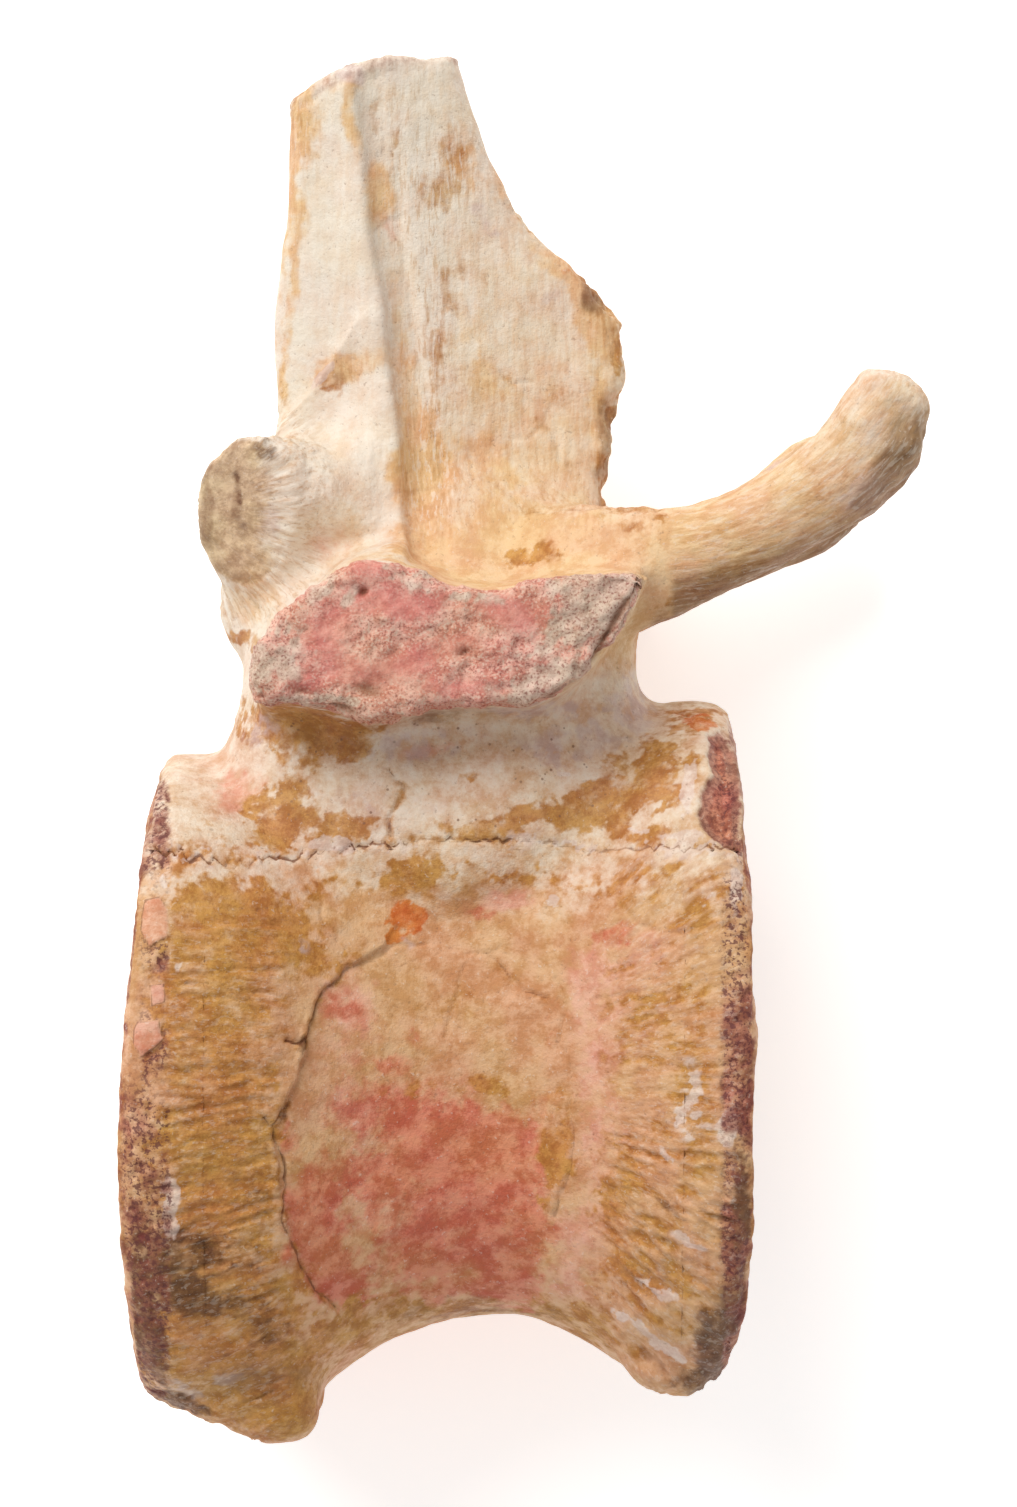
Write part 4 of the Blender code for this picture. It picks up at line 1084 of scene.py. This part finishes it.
# %% The fossil's palette, in linear light
# Each layer is a column, its two shades, its strength, how soft its edge is, and how hard noise
# bites into it
CLEAN, CLEAN_DIM = (0.80, 0.72, 0.61), (0.75, 0.62, 0.48)
LAYERS = (
    ("peach", (0.77, 0.54, 0.30), (0.67, 0.41, 0.20), 0.95, 0.50, 4),
    ("tan", (0.67, 0.40, 0.21), (0.53, 0.27, 0.11), 0.95, 0.50, 4),
    ("pink", (0.78, 0.46, 0.33), (0.67, 0.33, 0.22), 0.90, 0.50, 3),
    ("red", (0.68, 0.27, 0.16), (0.50, 0.145, 0.075), 0.90, 0.50, 3.5),
    ("ochre", (0.58, 0.30, 0.08), (0.37, 0.155, 0.036), 0.88, 0.38, 6),
    ("orange", (0.64, 0.23, 0.055), (0.50, 0.14, 0.03), 0.90, 0.30, 5),
    ("lilac", (0.66, 0.54, 0.50), (0.56, 0.43, 0.40), 0.65, 0.50, 3),
    ("facet", (0.71, 0.53, 0.32), (0.40, 0.26, 0.14), 0.88, 0.40, 5),
    # The umber layer is mostly painted shade
    ("shade_and_umber", (0.29, 0.165, 0.085), (0.20, 0.105, 0.052), 0.80, 0.50, 2),
    ("dark", (0.17, 0.075, 0.030), (0.085, 0.034, 0.015), 0.88, 0.46, 6),
    ("white", (0.80, 0.69, 0.61), (0.66, 0.51, 0.43), 0.70, 0.30, 7),
    ("red_rim", (0.44, 0.18, 0.115), (0.21, 0.065, 0.048), 0.85, 0.40, 7),
    ("broken", (0.73, 0.43, 0.325), (0.56, 0.245, 0.17), 1, 0.12, 7),
    ("smooth_break", (0.70, 0.32, 0.24), (0.60, 0.235, 0.175), 0.85, 0.35, 5),
    ("grey_grit", (0.73, 0.59, 0.47), (0.47, 0.34, 0.25), 0.85, 0.45, 6),
)
ROUND_GRAINED = ("broken", "smooth_break", "red_rim", "red", "pink")
FLECKED = ("facet", "ochre", "grey_grit", "dark")
# A dark brown for the crack and suture lines, also used for painted shade in hollows
LINE_AND_SHADE_BROWN, SPECK_PALE, SPECK_DARK = (0.20, 0.082, 0.032), (0.84, 0.76, 0.66), (0.22, 0.12, 0.07)
GRIT_PALE, GRIT_DARK, PORE_MAROON = (0.72, 0.58, 0.45), (0.27, 0.10, 0.07), (0.13, 0.042, 0.036)
STREAK_BROWN, STREAK_PALE = (0.48, 0.27, 0.10), (0.82, 0.74, 0.63)


# %% The noises of the finish
place = add_node("TexCoord").outputs["Object"]
grain_at = add_column("grain_place", "Vector")
blotch = add_noise(place, 190, 5, 0.72)
speck = add_noise(place, 900, 2, 0.7)
sand = add_noise(place, 1700, 1, 0.5)
drawn = add_noise(grain_at, 0.8, 4, 0.65)
strands = add_noise(grain_at, 1.3, 3, 0.6)
cells = add_node("TexVoronoi", Vector=place, Scale=420).outputs["Distance"]
fibre = add_mix(add_column("fibres"), blotch, drawn)
mottle = add_math("MULTIPLY_ADD", blotch, 0.35, add_math("MULTIPLY", fibre, 0.65))
flecked = add_mix(0.45, fibre, add_noise(place, 430, 4, 0.8))


# %% Lay the stains and the painted shade over clean bone
def laid(color, name, light, deep, strength, soft, bite_depth):
    """The colour with one more layer over it, stains and painted shade alike. Noise bites where its
    column is neither 0 nor 1.
    """
    column = add_column(name)
    room = add_math("MULTIPLY", column, add_math("SUBTRACT", 1, column))
    bite = add_math("MULTIPLY_ADD", mottle, bite_depth, -bite_depth / 2)
    share = add_math("MULTIPLY_ADD", room, bite, column)
    share = add_range(share, 0.5 - soft, 0.5 + soft, 0, strength)
    pattern = mottle if name in ROUND_GRAINED else flecked if name in FLECKED else fibre
    return add_mix(share, color, add_mix(add_range(pattern, 0.4, 0.6), light, deep))


color = add_mix(add_range(mottle, 0.36, 0.66), CLEAN, CLEAN_DIM)
for layer in LAYERS:
    color = laid(color, *layer)
print("stains laid:", len(LAYERS))

# %% Streaks, specks, grit, pores, dark lines and painted shade in hollows
smooth = add_math("MULTIPLY", add_column("smooth_break"), 0.8)
raw = add_math("SUBTRACT", add_column("broken"), smooth)
streaked = add_column("streaks")
# Each is a pattern, where it is kept to, its start and full values, its colour and strength
TOUCHES = (
    (strands, streaked, 0.54, 0.62, STREAK_BROWN, 0.6),
    (strands, streaked, 0.46, 0.38, STREAK_PALE, 0.8),
    (speck, 1, 0.62, 0.74, SPECK_PALE, 0.28),
    (speck, 1, 0.38, 0.24, SPECK_DARK, 0.4),
    (sand, raw, 0.54, 0.64, GRIT_PALE, 0.6),
    (sand, raw, 0.44, 0.32, GRIT_DARK, 0.7),
    (speck, add_column("porous"), 0.50, 0.40, PORE_MAROON, 0.8),
    (cells, add_column("pored"), 0.17, 0.09, SPECK_DARK, 0.75),
    # Painted shade in grooves, cracks and pits
    (add_column("hollow_shade"), 1, 0.1, 0.85, LINE_AND_SHADE_BROWN, 0.85),
    (add_column("dark_lines"), 1, 0.70, 0.92, LINE_AND_SHADE_BROWN, 0.8),
)
for pattern, where, start, full, shade, strength in TOUCHES:
    share = add_math("MULTIPLY", add_range(pattern, start, full, 0, strength), where)
    color = add_mix(share, color, shade)

# %% A drifting tint, the sheen and the bump
hue = add_range(add_noise(place, 75, 3, 0.6), 0.35, 0.65, 0.488, 0.501)
tinted = add_node("HueSaturation", Hue=hue, Saturation=1.05, Color=color)
height = add_math("ADD", fibre, speck)
bump = add_node("Bump", Strength=0.45, Distance=0.0006, Height=height)
shader = nodes["Principled BSDF"]
plug(shader.inputs["Base Color"], tinted.outputs["Color"])
plug(shader.inputs["Roughness"], add_range(mottle, 0.3, 0.7, 0.5, 0.78))
plug(shader.inputs["Specular IOR Level"], 0.3)
plug(shader.inputs["Normal"], bump.outputs["Normal"])
skin.data.materials.append(fossil)
print("the finish has", len(nodes), "nodes")

# %% [markdown]
# ## Cutting the skin into pieces
# A piece with a million faces is awkward to handle, so the skin is cut along straight planes where
# a cutter would cut a real cast: under the arch and across it, inside each rim, down the middle
# plane and under the spine. Each cut is closed again, and its edge is marked sharp, so that the
# shading of the outside doesn't bend there. The cuts are made while the skin is still smooth, which
# keeps their caps tidy. After that each piece takes its relief, the same on both sides of a cut.


# %% Cut and name the pieces
def cut_piece(source, name, planes):
    """A closed copy of the part of the mesh that lies on the given side of every plane."""
    piece = source.copy()
    piece.data = source.data.copy()
    piece.name = name
    piece.data.name = name
    bpy.context.scene.collection.objects.link(piece)
    pick(piece)
    bpy.ops.object.mode_set(mode="EDIT")
    for place, normal in planes:
        bpy.ops.mesh.select_all(action="SELECT")
        bpy.ops.mesh.bisect(
            plane_co=Vector(place) * MM, plane_no=normal, use_fill=True, clear_inner=True
        )
        bpy.ops.mesh.mark_sharp()
        bpy.ops.mesh.faces_shade_flat()
        bpy.ops.mesh.quads_convert_to_tris(quad_method="BEAUTY", ngon_method="BEAUTY")
    bpy.ops.object.mode_set(mode="OBJECT")
    return piece


def take_relief(piece):
    """Moves a piece's points by the relief that was worked out for the skin."""
    data = piece.data
    places = read(data.vertices, "co", 3) + read(data.attributes["move"].data, "vector", 3)
    data.vertices.foreach_set("co", places.ravel())
    data.attributes.remove(data.attributes["move"])
    data.update()


def both_sides(place, normal):
    """One plane as it keeps the side its normal points to, and as it keeps the other."""
    return (place, normal), (place, tuple(-n for n in normal))


# %% The planes and the pieces
FRONT_CUT, BACK_CUT, BLADE_CUT, ARCH_CUT = 33, -68, 69.4, -13  # mm
UPPER, LOWER = both_sides((0, SUTURE_LEVEL, 0), (0, 1, 0))
RIGHT, LEFT = both_sides((0, 0, MIDDLE_PLANE), (0, 0, 1))
FRONT_RIM, BEFORE_FRONT_RIM = both_sides((FRONT_CUT, 0, 0), (1, 0, 0))
BACK_RIM, AFTER_BACK_RIM = both_sides((BACK_CUT, 0, 0), (-1, 0, 0))
BLADE, UNDER_BLADE = both_sides((0, BLADE_CUT, 0), (0, 1, 0))
FRONT_HALF, BACK_HALF = both_sides((ARCH_CUT, 0, 0), (1, 0, 0))
WAIST = (BEFORE_FRONT_RIM, AFTER_BACK_RIM)
ARCH_PARTS = ("neural_arch", "transverse_process", "prezygapophysis", "postzygapophysis")
ARCH_RIGHT, ARCH_LEFT = ([part + side for part in ARCH_PARTS] for side in ("_right", "_left"))
mesh.polygons.foreach_set("use_smooth", np.ones(len(mesh.polygons), bool))
lower = cut_piece(skin, "lower_part", (LOWER,))
upper = cut_piece(skin, "upper_part", (UPPER,))
PIECES = (
    (lower, "centrum_back_rim", (BACK_RIM,), ("centrum",)),
    (lower, "centrum_front_rim", (FRONT_RIM,), ("centrum",)),
    (lower, "centrum_waist_right", (*WAIST, RIGHT), ("centrum",)),
    (lower, "centrum_waist_left", (*WAIST, LEFT), ("centrum",)),
    (upper, "arch_right_front", (UNDER_BLADE, RIGHT, FRONT_HALF), ARCH_RIGHT),
    (upper, "arch_right_back", (UNDER_BLADE, RIGHT, BACK_HALF), ARCH_RIGHT),
    (upper, "arch_left_front", (UNDER_BLADE, LEFT, FRONT_HALF), ARCH_LEFT),
    (upper, "arch_left_back", (UNDER_BLADE, LEFT, BACK_HALF), ARCH_LEFT),
    (upper, "spine_blade", (BLADE,), ("neural_spine",)),
)
for source, name, planes, nodes_replaced in PIECES:
    piece = cut_piece(source, name, planes)
    take_relief(piece)
    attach(piece, "root")
    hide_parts(*nodes_replaced)
    triangles = sum(len(face.vertices) - 2 for face in piece.data.polygons)
    print(name, "has", triangles, "triangles")
for spare in (lower, upper, skin):
    bpy.data.objects.remove(spare, do_unlink=True)
